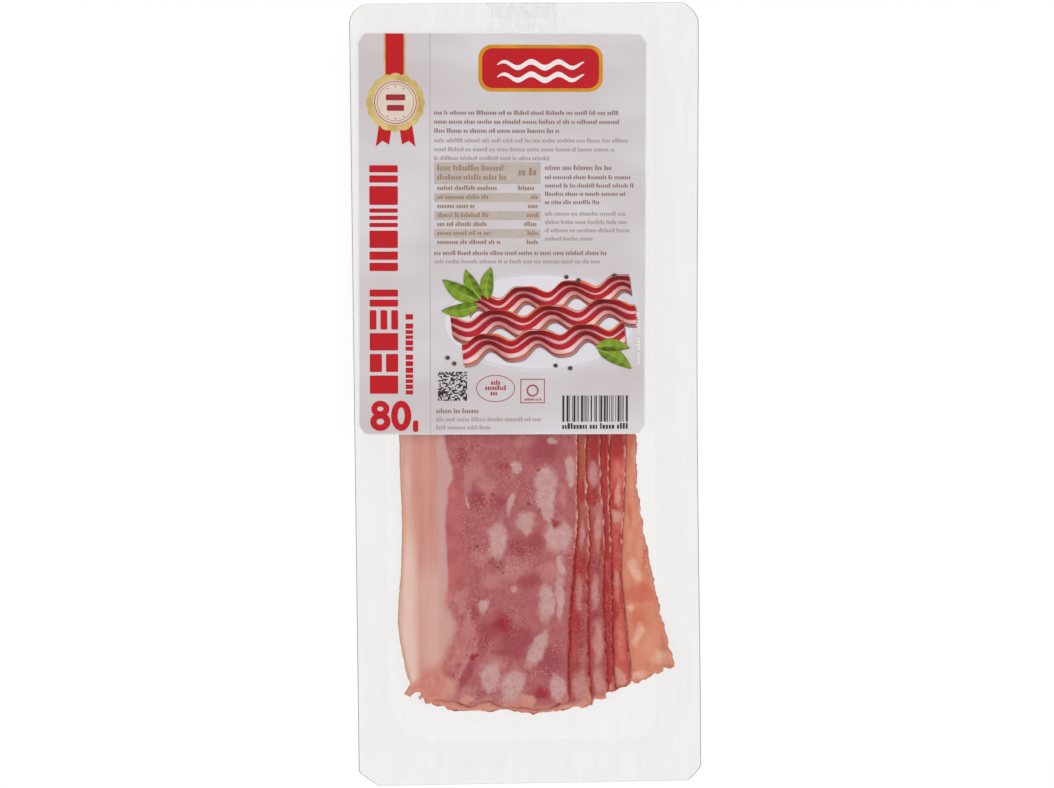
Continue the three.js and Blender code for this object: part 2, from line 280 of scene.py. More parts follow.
def corner_inset(distance, corner):
    """How far the outline is set in beside a corner, at a distance from the pack's end."""
    along_x, along_y, roundness = corner
    share = np.clip(distance / along_y, 0, 1)
    chamfer = 1 - share
    arc = 1 - np.sqrt(np.maximum(1 - (1 - share) ** 2, 0))
    return along_x * (chamfer + roundness * (arc - chamfer))


def pack_sides(y):
    """Where the pack's left and right cut edges run at a height along it."""
    from_top = PACK_HALF_LENGTH - y
    from_bottom = PACK_HALF_LENGTH + y
    top_right, top_left, low_left, low_right = PACK_CORNERS
    waist = SIDE_WAIST * np.cos(np.pi / 2 * y / PACK_HALF_LENGTH) ** 2
    left = -PACK_HALF_WIDTH + corner_inset(from_top, top_left) + corner_inset(from_bottom, low_left)
    right = PACK_HALF_WIDTH - corner_inset(from_top, top_right) - corner_inset(from_bottom, low_right)
    return left, right - waist


def beside_edge(share, cells, width):
    """Moves the first and the last line of cells out beside the edge."""
    first = 1 / cells
    share = np.where(np.abs(share - first) < first / 2, width, share)
    return np.where(np.abs(share - 1 + first) < first / 2, 1 - width, share)


def film_sheet(name, level, material):
    """A sheet of film cut to the pack's outline, with a narrow band along its cut edge that carries painted
    shade.
    """
    bm = grid(FILM_COLUMNS, FILM_ROWS)
    across, along = places(bm)[:, :2].T
    y = PACK_HALF_LENGTH * (2 * beside_edge(along, FILM_ROWS, CUT_EDGE / (2 * PACK_HALF_LENGTH)) - 1)
    left, right = pack_sides(y)
    x = left + (right - left) * beside_edge(across, FILM_COLUMNS, CUT_EDGE / (2 * PACK_HALF_WIDTH))
    move_to(bm, x, y, level(x, y))
    piece = finish_mesh(name, bm, material)
    store(piece, "cut_edge_shade", np.maximum(at_rim(across) * SIDE_EDGE_SHADE, at_rim(along) * END_EDGE_SHADE))
    return piece


# The slices' outlines

def catmull_rom(points, steps):
    """A smooth line through all the points."""
    points = np.array(points, dtype=float)
    line = []
    last = len(points) - 1
    for index in range(last):
        start, end = points[index], points[index + 1]
        lean_in = (end - points[max(index - 1, 0)]) / 2
        lean_out = (points[min(index + 2, last)] - start) / 2
        cubic = 2 * start - 2 * end + lean_in + lean_out
        square = -3 * start + 3 * end - 2 * lean_in - lean_out
        for step in range(steps):
            t = step / steps
            line.append(cubic * t ** 3 + square * t ** 2 + lean_in * t + start)
    return np.array(line)


def slice_outline(cut):
    right_edge = list(zip(cut["right"], EDGE_STATIONS))
    left_edge = [(x + cut["set_in"], y) for x, y in zip(LEFT_EDGE, EDGE_STATIONS)][::-1]
    head = [(right_edge[-1][0] - 3, cut["head"] - 1), (left_edge[0][0] + 3, cut["head"])]
    return catmull_rom([left_edge[-1], *cut["foot"], *right_edge, *head, *left_edge], 4)


def outline_distance(outline, x, y):
    """Distance of many points to a closed outline, negative inside, and the nearest points on it."""
    nearest = np.full(len(x), np.inf)
    foot_x = np.zeros(len(x))
    foot_y = np.zeros(len(x))
    inside = np.zeros(len(x), dtype=bool)
    for start, end in zip(outline, np.roll(outline, -1, axis=0)):
        along = end - start
        past_start = (x - start[0]) * along[0] + (y - start[1]) * along[1]
        reach = np.clip(past_start / (along @ along + 1e-12), 0, 1)
        on_x = start[0] + reach * along[0]
        on_y = start[1] + reach * along[1]
        distance = np.hypot(x - on_x, y - on_y)
        closer = distance < nearest
        nearest = np.where(closer, distance, nearest)
        foot_x = np.where(closer, on_x, foot_x)
        foot_y = np.where(closer, on_y, foot_y)
        crosses = (start[1] > y) != (end[1] > y)
        if along[1]:
            inside ^= crosses & (x < start[0] + along[0] * (y - start[1]) / along[1])
    return np.where(inside, -nearest, nearest), foot_x, foot_y


OUTLINES = [slice_outline(cut) for cut in SLICES]


def rest_level(index, x, y):
    """Underside of a slice: it lies on the tray and falls softly over the slices below it."""
    lifted = np.zeros(len(x))
    for outline in OUTLINES[index + 1:]:
        distance = outline_distance(outline, x, y)[0]
        lifted += 1 - smoothstep(distance, FALL_START, FALL_START + FALL_LENGTH)
    return pocket_level(x) + FLOOR_CLEARANCE + SLICE_RISE * lifted


def soft_noise(x, y, size, seed):
    """Perlin noise between about -1 and 1, with features of a size in millimetres."""
    return np.array([noise.noise(Vector((px / size, py / size, seed * 3.7))) for px, py in zip(x, y)])


# Marbling, listed as centre, half width, half length and, where it isn't upright, lean in degrees

MARBLING = [
    {
        "pale": [(6.8, -31.5, 4.1, 4.2, 20), (6.5, -38, 3.6, 5), (7.7, -43.5, 2.3, 4),
                 (16.2, -28.5, 1.9, 4.9), (11.4, -53, 4.9, 6.2, -8), (8, -46, 1.8, 2.6),
                 (-1.1, -47.5, 3.2, 3.9, 14), (-6.4, -40.4, 1.2, 3.8, 10), (-11.8, -54.5, 3.1, 7, 3),
                 (-4.4, -26.6, 2.2, 2.6), (9.2, -16.9, 1.9, 1.4), (-17.1, -79.7, 1.7, 3, 6),
                 (6.7, -77.8, 2.7, 7, 3), (11.8, -76.3, 1.7, 8), (3, -95.9, 2.5, 7.4, 27),
                 (-14.8, -106.4, 3.3, 5.8, 4), (-6.7, -110.6, 4.3, 6.4, 10), (10.8, -111, 3, 5.2),
                 (-22.9, -38.8, 0.5, 3.2, -6), (-5.4, -73.3, 1.2, 1.4), (12.6, -63.8, 1.4, 4, -16),
                 (-10, 8, 4, 12, 8), (6, 24, 5, 14, -6), (-18, 52, 3, 12, 5), (8, 78, 4.5, 16, 9),
                 (-6, 104, 4, 9, -8)],
        "haze": [(-15.7, -34.1, 3.4, 3.4), (-17.5, -61, 3.4, 2.6), (-1, -17.5, 4, 2), (13.4, -38, 1.5, 5),
                 (-22.5, -30.5, 1.4, 6), (8.5, -66.5, 4, 3), (-12, -100.5, 3, 2.4),
                 (-26, -78, 1.5, 4, -10), (-23.2, -88, 2.2, 6, 8), (-25.2, -102.2, 1.4, 11.5, 27),
                 (-26.4, -98, 2.4, 5, 28), (-26.2, -75.4, 1.6, 3.6, 35), (-6, -66, 6, 4),
                 (-24, -113, 3.6, 2, -20), (-14, -70, 4, 3), (-20, -28, 3, 4), (-4, -106, 2, 2)],
        "salmon": [(-0.7, -115.6, 3, 2.1), (-23.8, -115.2, 3, 1.3), (-36.5, -110.5, 8.5, 5.4)],
        "rose": [(6.2, -20.2, 6.4, 4.6), (-9, -26.6, 3, 1.6), (-3.7, -57.2, 3.9, 3.2),
                 (-10.7, -39.8, 2.9, 2.7), (-24.6, -21.3, 2.3, 2.7), (-11.9, -63, 3, 2.5),
                 (2.4, -55.5, 3.3, 3.8), (-7.1, -97.3, 5.6, 2.7), (-2.5, -91.2, 3.1, 3.2),
                 (8.1, -101.6, 4.6, 5.2), (-24, -105.5, 1.7, 6.5, 26), (-19, -38.9, 3, 4), (0, -70, 4, 3),
                 (-20.5, -82.5, 1.4, 3.4), (-14.5, -88, 5, 3.4, -20), (-5, -93, 7, 3.6), (4.6, -92, 2, 3),
                 (-26.8, -109, 1.2, 3.5, 26), (-17, -92, 2.4, 3.6, 20)],
        "deep": [(-9.5, -86.2, 3.1, 4.6, -35), (4, -113, 3.2, 2.3, 12), (-21.4, -98.2, 0.8, 2.2, 33),
                 (10.6, -47.6, 2.1, 1.4, 20)],
        "coral": [(-29.6, -76, 1.9, 3.4), (-28.4, -96, 2.6, 9, 20), (-5, -117, 5, 1.5)],
        "pit": [(-1.6, -17.3, 0.5, 0.5), (3.8, -28, 0.6, 0.4), (-19.4, -56.4, 0.7, 0.5),
                (-9.4, -65.8, 0.9, 0.4), (-12.9, -37, 0.7, 0.4, 30), (-21.4, -57.4, 0.4, 0.4),
                (4.2, -42.5, 0.35, 1), (-12, -64.4, 0.6, 0.3), (0.2, -39.6, 0.4, 0.8, 30),
                (-13.6, -57.6, 0.5, 0.4), (-20, -64.2, 0.5, 0.3), (-19.8, -97.2, 0.5, 0.4),
                (-16.3, -91.4, 0.4, 0.4)],
        "grain": [(-23.6, -21.4, 4.5, 5), (-6.5, -30.2, 6, 3.8), (-17.9, -58, 4.6, 6.6),
                  (-16.8, -42.8, 5, 5), (-2.8, -60.8, 8, 5), (-21.4, -78, 2.4, 5.4, 8),
                  (-20.6, -90, 1.9, 8, 8), (-25.2, -102.2, 1.6, 12, 27), (-30, -111, 1.2, 3, 20),
                  (-16.2, -94, 3, 3), (-5.5, -81.9, 3, 7), (10.7, -96.5, 2.5, 3), (3, -105, 8, 1.8),
                  (-44, -28.2, 2.2, 8), (-32.6, -42, 1.2, 26), (-31, -86, 2, 5), (15.5, -62, 2, 10),
                  (2, -38, 5, 4), (-24, -47, 2, 9), (-12, -113, 9, 2.5), (7, -104, 5, 3)],
    },
    {
        "salmon": [(-12, -118.6, 34, 3), (20, -118.5, 4, 2)],
        "pale": [(20.2, -52.3, 1, 4.8), (19, -75, 1.1, 6.4), (19.4, -110.8, 2.8, 6.4)],
        "haze": [(20.6, -40, 1.5, 4), (20.4, -99, 1.6, 5), (20.6, -86, 1.4, 3)],
        "brown": [(19.8, -24, 1.7, 10), (20.6, -45, 1, 2.5)],
        "rose": [(19.5, -61.5, 2.4, 3.4), (19.5, -87, 2, 3.6), (19.2, -94, 2, 2.4), (18, -103, 2, 3)],
        "grain": [(20, -60, 3, 12), (19, -90, 2, 20)],
        "blush": [(20.2, -35.5, 1.8, 5), (17.6, -86, 1.8, 6), (20.8, -64, 1.6, 4), (17.4, -18, 1.4, 4),
                  (16.9, -60, 1.2, 5), (21.9, -70, 0.8, 10)],
    },
    {
        "pale": [(24.6, -29.4, 1.9, 3.6), (26.6, -50, 1.4, 7, 3), (25.4, -74, 1.6, 6),
                 (26.6, -108.5, 2, 5), (26.4, -94, 1.8, 8)],
        "haze": [(25.5, -42, 2, 3), (26, -62, 1.8, 3)],
        "rose": [(25.5, -63.6, 2.8, 3.2), (25.4, -84, 2, 3)],
        "grain": [(25.2, -82, 2.2, 3.4), (25.5, -40, 3, 5), (25.5, -64, 3, 3)],
        "blush": [(25.4, -18.5, 3, 6.8), (24.6, -38.5, 2.6, 3.4), (28.4, -60, 0.9, 7)],
    },
    {
        "haze": [(29.4, -47, 0.9, 3), (29.3, -66, 1.2, 3.6), (28.6, -96, 1.4, 8)],
        "salmon": [(31.4, -113, 1.6, 1.8)],
        "blush": [(30.5, -78.5, 2.4, 7.4), (30.6, -95, 1.7, 12), (29.6, -20, 3, 8), (30.5, -58.5, 1.9, 5),
                  (31, -41, 1.5, 6), (30.6, -50, 1.1, 6)],
        "grain": [(30.5, -88, 2, 12)],
    },
    {
        "pale": [(34.4, -38, 1, 4.4)],
        "salmon": [(34.2, -108, 3, 4.2), (33.4, -46.2, 2.6, 2), (33, -70.5, 1.6, 3.4)],
        "haze": [(34.2, -93, 2.2, 7.4), (34, -29, 2, 3), (33, -75, 1.1, 4)],
        "blush": [(34, -19.4, 3.4, 5.4), (35.9, -59, 1.4, 7), (33, -83, 1.1, 5), (35.8, -76, 1.1, 5),
                  (36.4, -41, 0.8, 4), (32.6, -41, 0.9, 6)],
        "grain": [(33.5, -46, 3.4, 3), (33, -90, 2, 12)],
    },
    {
        "pale": [(40.7, -67.4, 1.7, 3.8, -18), (38.9, -81.5, 1.4, 1.1), (42, -91.5, 1.5, 4.4, 18),
                 (50.1, -100.8, 3, 2.5, -20), (41.6, -107.4, 3.6, 1.4), (40.8, -66.4, 0.9, 3, -18)],
        "haze": [(39.8, -36, 0.8, 5.4), (40.4, -22, 0.9, 6), (42.6, -60, 1.5, 5), (46.5, -96, 3, 5),
                 (40.4, -47.6, 4.4, 2.2, -12), (38.8, -55, 1.2, 4)],
        "rose": [(38.6, -19, 1.6, 8), (42, -86, 3, 4), (38.9, -46, 1, 4), (44.6, -74, 2, 2)],
        "band": [(42.1, -76.4, 7, 2.9), (39.2, -16, 2.6, 4), (45.3, -58, 0.7, 9, 8)],
        "grain": [(44.6, -47, 1.6, 3), (45, -60, 1.4, 8)],
    },
]


def warped(x, y, index):
    """Moves points about a little, so that the patches drawn with them have fibrous, uneven outlines."""
    across = 1.0 * soft_noise(x, y * 0.7, 3.6, index + 31) + 0.45 * soft_noise(x, y * 0.6, 1.3, index + 37)
    along = 1.6 * soft_noise(x, y * 0.7, 4.2, index + 41) + 0.8 * soft_noise(x, y * 0.6, 1.5, index + 47)
    return x + across, y + along


def patch_mask(x, y, patches, softness=0.45):
    """1 in the middle of the patches, 0.5 on their edges and 0 well outside."""
    mask = np.zeros(len(x))
    for centre_x, centre_y, half_width, half_length, *lean in patches:
        turn = math.radians(sum(lean))
        across = (x - centre_x) * math.cos(turn) - (y - centre_y) * math.sin(turn)
        along = (x - centre_x) * math.sin(turn) + (y - centre_y) * math.cos(turn)
        reach = np.hypot(across / half_width, along / half_length)
        mask = np.maximum(mask, np.clip(0.5 + (1 - reach) / (2 * softness), 0, 1))
    return mask


def stripe_mask(x, middle, half_width, softness):
    return np.clip(0.5 + (half_width - np.abs(x - middle)) / (2 * softness), 0, 1)


# Materials

def add_node(tree, kind, values=(), named=None, **settings):
    """A shader node, with its first inputs set or linked in order and others by name."""
    made = tree.nodes.new("ShaderNode" + kind)
    for key, value in settings.items():
        setattr(made, key, value)
    for socket, value in zip(made.inputs, values):
        feed(tree, socket, value)
    for key, value in (named or {}).items():
        feed(tree, made.inputs[key], value)
    return made


def feed(tree, socket, value):
    if isinstance(value, bpy.types.NodeSocket):
        tree.links.new(value, socket)
    elif value is not None:
        socket.default_value = value


def math_node(tree, operation, *values, clamp=False):
    return add_node(tree, "Math", values, operation=operation, use_clamp=clamp).outputs[0]


def times(tree, first, second):
    return math_node(tree, "MULTIPLY", first, second)


def unsettled(tree, value, unevenness, amount):
    """A value moved up and down by a noise."""
    return math_node(tree, "MULTIPLY_ADD", math_node(tree, "SUBTRACT", unevenness, 0.5), amount, value)


def thin_lines(tree, unevenness, width):
    """1 where a noise passes its middle value, as lines."""
    away = math_node(tree, "ABSOLUTE", math_node(tree, "SUBTRACT", unevenness, 0.5))
    return ramp(tree, away, width, 0.0)


def mix_colour(tree, factor, *tones):
    """A mix of two tones, each of them a socket, a linear colour or three display values from 0 to 255."""
    first, second = [srgb(*tone) if isinstance(tone, tuple) and len(tone) == 3 else tone for tone in tones]
    return add_node(tree, "Mix", named={0: factor, 6: first, 7: second}, data_type="RGBA").outputs[2]


def blend(tree, value, low, high, first, second):
    """One tone where a value is low and another where it is high."""
    return mix_colour(tree, ramp(tree, value, low, high), first, second)


def attribute(tree, name):
    return add_node(tree, "Attribute", attribute_name=name).outputs["Fac"]


def ramp(tree, value, low, high, to_low=0.0, to_high=1.0):
    return add_node(tree, "MapRange", (value, low, high, to_low, to_high)).outputs[0]


def millimetres(tree, stretch=(1, 1, 1), turn=0.0):
    """Object coordinates in millimetres, stretched along an axis."""
    where = add_node(tree, "TexCoord").outputs["Object"]
    scale = tuple(1000 / amount for amount in stretch)
    return add_node(tree, "Mapping", (where, (0, 0, 0), (0, 0, turn), scale)).outputs[0]


def noise_value(tree, where, size, detail=3.0, roughness=0.55):
    named = {"Vector": where, "Scale": 1 / size, "Detail": detail, "Roughness": roughness}
    return add_node(tree, "TexNoise", named=named).outputs["Fac"]


def srgb(red, green, blue):
    """A colour given as 0 to 255 display values."""
    linear = [((value / 255 + 0.055) / 1.055) ** 2.4 if value > 10 else value / 255 / 12.92
              for value in (red, green, blue)]
    return (*linear, 1.0)


def new_material(name):
    material = bpy.data.materials.new(name)
    material.use_nodes = True
    tree = material.node_tree
    tree.nodes.clear()
    return material, tree


def output(tree, surface):
    made = add_node(tree, "OutputMaterial")
    tree.links.new(surface, made.inputs["Surface"])


def principled(tree, colour, roughness, normal=None, **more):
    named = {"Base Color": colour, "Roughness": roughness, "Normal": normal}
    named.update({name.replace("_", " "): value for name, value in more.items()})
    return add_node(tree, "BsdfPrincipled", named=named).outputs[0]


def bump(tree, height, distance):
    named = {"Height": height, "Strength": 1.0, "Distance": distance * MM}
    return add_node(tree, "Bump", named=named).outputs[0]


def front_gloss(tree, tone, ior, roughness, normal):
    """A clear film of a tone, with gloss on the side that faces the light and the eye."""
    through = add_node(tree, "BsdfTransparent", (tone,)).outputs[0]
    shine = add_node(tree, "BsdfGlossy", named={"Roughness": roughness, "Normal": normal}).outputs[0]
    fresnel = add_node(tree, "Fresnel", named={"IOR": ior, "Normal": normal}).outputs[0]
    back = add_node(tree, "NewGeometry").outputs["Backfacing"]
    amount = times(tree, fresnel, math_node(tree, "SUBTRACT", 1.0, back))
    return add_node(tree, "MixShader", (amount, through, shine)).outputs[0]


def film_material(name, ior):
    """Clear film: it lets light through and shines, and its cut edge is darkened with painted shade."""
    material, tree = new_material(name)
    ripple = noise_value(tree, millimetres(tree), 12, 1)
    streaks = noise_value(tree, millimetres(tree, (1, 6, 1)), 3.5, 3)
    clear = blend(tree, streaks, 0.35, 0.65, (0.970, 0.968, 0.966, 1), (0.977, 0.975, 0.973, 1))
    # Painted shade: the film's cut edge is darkened in its colour
    tone = mix_colour(tree, attribute(tree, "cut_edge_shade"), clear, (0.42, 0.42, 0.44, 1))
    output(tree, front_gloss(tree, tone, ior, 0.16, bump(tree, ripple, 0.1)))
    return material


def noisy_edge(tree, mask, roughening, amount, softness):
    """A mask whose soft edge breaks up into an uneven line."""
    shifted = unsettled(tree, mask, roughening, amount)
    edge = ramp(tree, shifted, 0.5 - softness, 0.5 + softness)
    return times(tree, edge, ramp(tree, mask, 0.02, 0.25))


def lay(tree, tone, rows):
    """Lays tones on a tone: mask, noise that breaks its edge, colour, strength, unevenness and softness."""
    for mask, roughening, colour, strength, amount, softness in rows:
        edge = noisy_edge(tree, attribute(tree, mask), roughening, amount, softness)
        tone = mix_colour(tree, times(tree, edge, strength), tone, colour)
    return tone


# The bacon's materials: the seed of the noise, how soft the fat's outline is, and the tones in this order
TONE_NAMES = ("dark", "light", "broad", "haze", "rose", "band", "fleck_and_sparkle", "cool", "warm")
BACON_KINDS = {
    "bacon_upper": (1, 0.2, [(164, 82, 88), (197, 118, 119), (183, 100, 103), (206, 138, 136), (162, 64, 76),
                             (210, 114, 114), (232, 178, 174), (209, 173, 170), (215, 175, 169)]),
    "bacon_middle": (2, 0.3, [(156, 66, 68), (188, 100, 98), (178, 86, 86), (196, 118, 114), (160, 62, 66),
                              (188, 92, 96), (214, 148, 142), (207, 149, 146), (213, 152, 144)]),
    "bacon_lower": (3, 0.35, [(168, 38, 42), (192, 68, 64), (182, 54, 52), (204, 102, 95), (168, 48, 48),
                              (188, 80, 76), (212, 120, 108), (220, 162, 150), (226, 160, 140)]),
    "bacon_edge": (5, 0.35, [(192, 70, 62), (212, 102, 90), (204, 90, 80), (224, 132, 116), (190, 60, 52),
                             (196, 64, 52), (232, 158, 142), (220, 162, 150), (226, 160, 140)]),
    # The single slice's lighter, more orange tones are partly its own and partly painted light shining up
    # through it from the pale floor
    "bacon_single_lit_through": (4, 0.45, [(216, 128, 100), (228, 150, 124), (222, 140, 112), (230, 158, 132),
                               (214, 112, 86), (214, 108, 88), (244, 196, 174), (237, 180, 154),
                               (243, 200, 176)]),
}


def bacon_material(name):
    """Cured meat: a speckled lean ground, with fat, rose and rind where the slice's masks put them."""
    material, tree = new_material(name)
    seed, fat_softness, tones = BACON_KINDS[name]
    tones = dict(zip(TONE_NAMES, tones))

    def moved(stretch=(1, 1, 1), turn=0.0):
        """Places on the slice, moved by the seed so that each material has its own pattern."""
        shift = (seed * 31.7, seed * 17.3, seed * 5.1)
        return add_node(tree, "VectorMath", (millimetres(tree, stretch, turn), shift)).outputs[0]

    where = moved()
    broad = noise_value(tree, where, 8, 4, 0.6)
    middle = noise_value(tree, moved((1, 1.5, 1)), 1.9, 5, 0.7)
    fine = noise_value(tree, where, 0.8, 3, 0.7)
    dots = noise_value(tree, where, 0.82, 2, 0.6)
    stripes = noise_value(tree, moved((1, 9, 1)), 2.6, 3, 0.5)
    fibres = noise_value(tree, moved((1, 1.8, 1), 0.5), 2.4, 3, 0.6)
    thin = ramp(tree, noise_value(tree, where, 2.6, 4, 0.65), 0.32, 0.6, 0.45, 0.95)

    band = blend(tree, broad, 0.35, 0.65, tones["rose"], tones["band"])
    band = mix_colour(tree, 0.4, band, tones["band"])
    fat = blend(tree, broad, 0.35, 0.65, tones["cool"], tones["warm"])
    fat = mix_colour(tree, ramp(tree, middle, 0.42, 0.7, 0, 0.6), fat, tones["haze"])
    salmon = blend(tree, stripes, 0.38, 0.62, (212, 146, 131), (217, 155, 144))
    coral = blend(tree, middle, 0.3, 0.7, (204, 116, 108), (221, 146, 133))

    tone = blend(tree, middle, 0.3, 0.7, tones["dark"], tones["light"])
    tone = mix_colour(tree, ramp(tree, broad, 0.42, 0.62, 0, 0.6), tone, tones["broad"])
    tone = lay(tree, tone, [
        ("haze", middle, tones["haze"], 0.65, 0.8, 0.3),
        ("rose", middle, tones["rose"], 0.78, 0.8, 0.42),
        ("band", middle, band, 0.8, 0.5, 0.4),
        ("blush", middle, (172, 40, 40), 0.85, 0.9, 0.25),
        ("brown", middle, (178, 96, 66), 0.85, 0.6, 0.25),
        ("pale", middle, fat, 0.4, 0.8, 0.5),
        ("pale", middle, fat, thin, 1.1, fat_softness),
        ("deep", middle, (160, 32, 46), 0.92, 0.9, 0.35),
        ("salmon", broad, salmon, 1.0, 0.25, 0.25),
        ("pink_fat", stripes, (226, 180, 168), 0.85, 0.6, 0.5),
        ("white", middle, (210, 167, 160), 0.9, 0.8, 0.4),
        ("cream", stripes, (237, 202, 188), 0.95, 0.5, 0.5),
        ("coral", middle, coral, 0.9, 0.7, 0.4),
        ("gold", fine, (228, 168, 126), 0.9, 0.6, 0.35),
    ])
    grain = ramp(tree, attribute(tree, "grain"), 0.0, 1.0, 0.1, 1.0)
    veins = times(tree, thin_lines(tree, fibres, 0.022), grain)
    tone = mix_colour(tree, times(tree, veins, 0.45), tone, tones["haze"])
    # Pale specks in the grain: partly the meat's own flecks, partly painted wet sparkle
    flecks_and_sparkle = times(tree, ramp(tree, dots, 0.57, 0.70), grain)
    tone = mix_colour(tree, times(tree, flecks_and_sparkle, 0.6), tone, tones["fleck_and_sparkle"])
    on_lean = math_node(tree, "SUBTRACT", 1.0, attribute(tree, "salmon"), clamp=True)
    pits = times(tree, ramp(tree, dots, 0.43, 0.33), times(tree, grain, on_lean))
    tone = mix_colour(tree, times(tree, pits, 0.7), tone, (138, 34, 46))
    tone = lay(tree, tone, [
        ("pit", fine, (112, 26, 38), 0.7, 0.4, 0.3),
        ("rind", fine, (228, 152, 126), 0.85, 0.5, 0.35),
        # Painted shade beside the slice above: a red fade, then the deep red line
        ("seam_shade_fade", middle, (186, 62, 60), 0.75, 1.1, 0.4),
        ("seam_shade", middle, (160, 24, 28), 0.9, 1.1, 0.35),
    ])
    # Orange dots within that band of painted shade
    embers = times(tree, attribute(tree, "seam_shade_fade"), ramp(tree, dots, 0.57, 0.66))
    tone = mix_colour(tree, times(tree, embers, 0.5), tone, (222, 120, 96))
    tone = lay(tree, tone, [("glint", fine, (250, 190, 170), 0.9, 0.8, 0.3)])

    height = math_node(tree, "ADD", times(tree, middle, 0.7), times(tree, dots, 0.3))
    wet = ramp(tree, middle, 0.35, 0.7, 0.3, 0.5)
    output(tree, principled(tree, tone, wet, bump(tree, height, 0.22), Specular_IOR_Level=0.4))
    return material


def paper_material():
    """Coated silver-grey label paper, with soft cloudy tones and a thin coat."""
    material, tree = new_material("silver_paper")
    cloud = noise_value(tree, millimetres(tree, (2.2, 1, 1)), 26, 2, 0.5)
    fibre = noise_value(tree, millimetres(tree), 0.35, 2, 0.6)
    tone = blend(tree, cloud, 0.35, 0.65, (201, 192, 192), (215, 210, 214))
    tone = mix_colour(tree, ramp(tree, fibre, 0.3, 0.7, 0, 0.06), tone, (180, 170, 176))
    # A pale band along the paper's rim: partly the white paper edge, partly painted highlight where the cut
    # edge catches the light
    tone = mix_colour(tree, attribute(tree, "pale_rim_and_highlight"), tone, (244, 240, 240))
    normal = bump(tree, math_node(tree, "ADD", cloud, times(tree, fibre, 0.02)), 0.3)
    coat = {"Coat_Weight": 0.25, "Coat_Roughness": 0.2}
    output(tree, principled(tree, tone, 0.42, normal, Specular_IOR_Level=0.4, **coat))
    return material


def ink_material(name, colour, second=None, size=3.0, roughness=0.4):
    """Printed ink, a little uneven."""
    material, tree = new_material(name)
    uneven = noise_value(tree, millimetres(tree), size, 3, 0.6)
    second = second or tuple(min(255, value * 0.9 + 14) for value in colour)
    tone = blend(tree, uneven, 0.35, 0.65, colour, second)
    output(tree, principled(tree, tone, roughness, Specular_IOR_Level=0.4))
    return material


def tape_material():
    """Clear tape with a faint warm tone, crazed where it was pressed down, with painted shade along the
    crease lines.
    """
    material, tree = new_material("clear_tape")
    creases = noise_value(tree, millimetres(tree, (1, 3, 1), 0.5), 3.0, 4, 0.7)
    lines = thin_lines(tree, creases, 0.02)
    tone = blend(tree, creases, 0.4, 0.7, (0.996, 0.993, 0.990, 1), (1, 1, 1, 1))
    # Painted shade along the crease lines
    tone = mix_colour(tree, times(tree, lines, 0.35), tone, (0.87, 0.86, 0.85, 1))
    normal = bump(tree, math_node(tree, "ADD", creases, times(tree, lines, 0.3)), 0.3)
    output(tree, front_gloss(tree, tone, 1.25, 0.14, normal))
    return material


def floor_material():
    """Pale floor that glows a little, as a light table does."""
    material, tree = new_material("pale_floor")
    cloud = noise_value(tree, millimetres(tree), 300, 2)
    tone = mix_colour(tree, cloud, (0.12, 0.12, 0.12, 1), (0.13, 0.13, 0.13, 1))
    glow = {"Emission_Color": (1, 1, 1, 1), "Emission_Strength": 0.88}
    output(tree, principled(tree, tone, 0.9, Specular_IOR_Level=0, **glow))
    return material


# How wide the dark line of painted shade beside the slice above is, high up and low down, and how strong the
# painted red fade beside it
SEAM_SHADE_WIDTHS = [(0, 0, 0), (0.7, 1.15, 1), (0.7, 0.85, 0.9), (0.6, 0.8, 0.9), (0.6, 1, 1), (0.35, 0.35, 0.4)]


def bacon_sheet(index):
    """A sheet of cells trimmed to the slice's outline, with its boundary drawn out onto the outline."""
    outline = OUTLINES[index]
    low = outline.min(axis=0) - 1
    size = outline.max(axis=0) + 1 - low
    bm = grid(*SLICE_CELLS)
    across, along = places(bm)[:, :2].T
    x = low[0] + size[0] * across * (1 + SIDE_CROWDING[index] * (1 - across))
    y = low[1] + size[1] * along * (1 - FOOT_CROWDING * (1 - along))
    distance = outline_distance(outline, x, y)[0]
    move_to(bm, x, y, np.zeros(len(x)))
    outside = [vert for vert, away in zip(list(bm.verts), distance) if away > -TRIM_DEPTH]
    bmesh.ops.delete(bm, geom=outside, context="VERTS")
    drop_scraps(bm)
    x, y = (places(bm) / MM)[:, :2].T
    on_edge = np.array([vert.is_boundary for vert in bm.verts])
    distance, foot_x, foot_y = outline_distance(outline, x, y)
    ragged = EDGE_CRUMBLE * (1 + 1.2 * smoothstep(-foot_y, 104, 110) + 2 * (foot_x > 0))
    crumble = soft_noise(foot_x, foot_y, 1.5, index + 3) + 0.8 * soft_noise(foot_x, foot_y, 4.5, index + 9)
    past = ragged * crumble / np.maximum(np.hypot(foot_x - x, foot_y - y), 1e-6)
    x = np.where(on_edge, foot_x + (foot_x - x) * past, x)
    y = np.where(on_edge, foot_y + (foot_y - y) * past, y)
    return bm, x, y, np.where(on_edge, 0, distance)


def drop_scraps(bm):
    """Removes vertices and cells that the trimming left hanging by a corner."""
    for _ in range(3):
        weak = [vert for vert in bm.verts if len(vert.link_faces) < 2]
        if not weak:
            break
        bmesh.ops.delete(bm, geom=weak, context="VERTS")


def bacon_slice(index, material):
    bm, x, y, distance = bacon_sheet(index)
    lying = rest_level(index, x, y) + SLICE_THICKNESS
    rumple = 0.08 * soft_noise(x, y, 14, 2) + 0.03 * soft_noise(x, y, 4, 5)
    rounded = EDGE_ROUNDING * np.exp(-(distance / 0.5) ** 2)
    move_to(bm, x, y, lying + rumple - rounded)
    piece = finish_mesh(f"bacon_{index + 1}", bm, material)
    thicken(piece, SLICE_THICKNESS - EDGE_ROUNDING)
    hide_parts(f"slice_{index + 1}")
    paint_marbling(piece, index, x, y, distance)


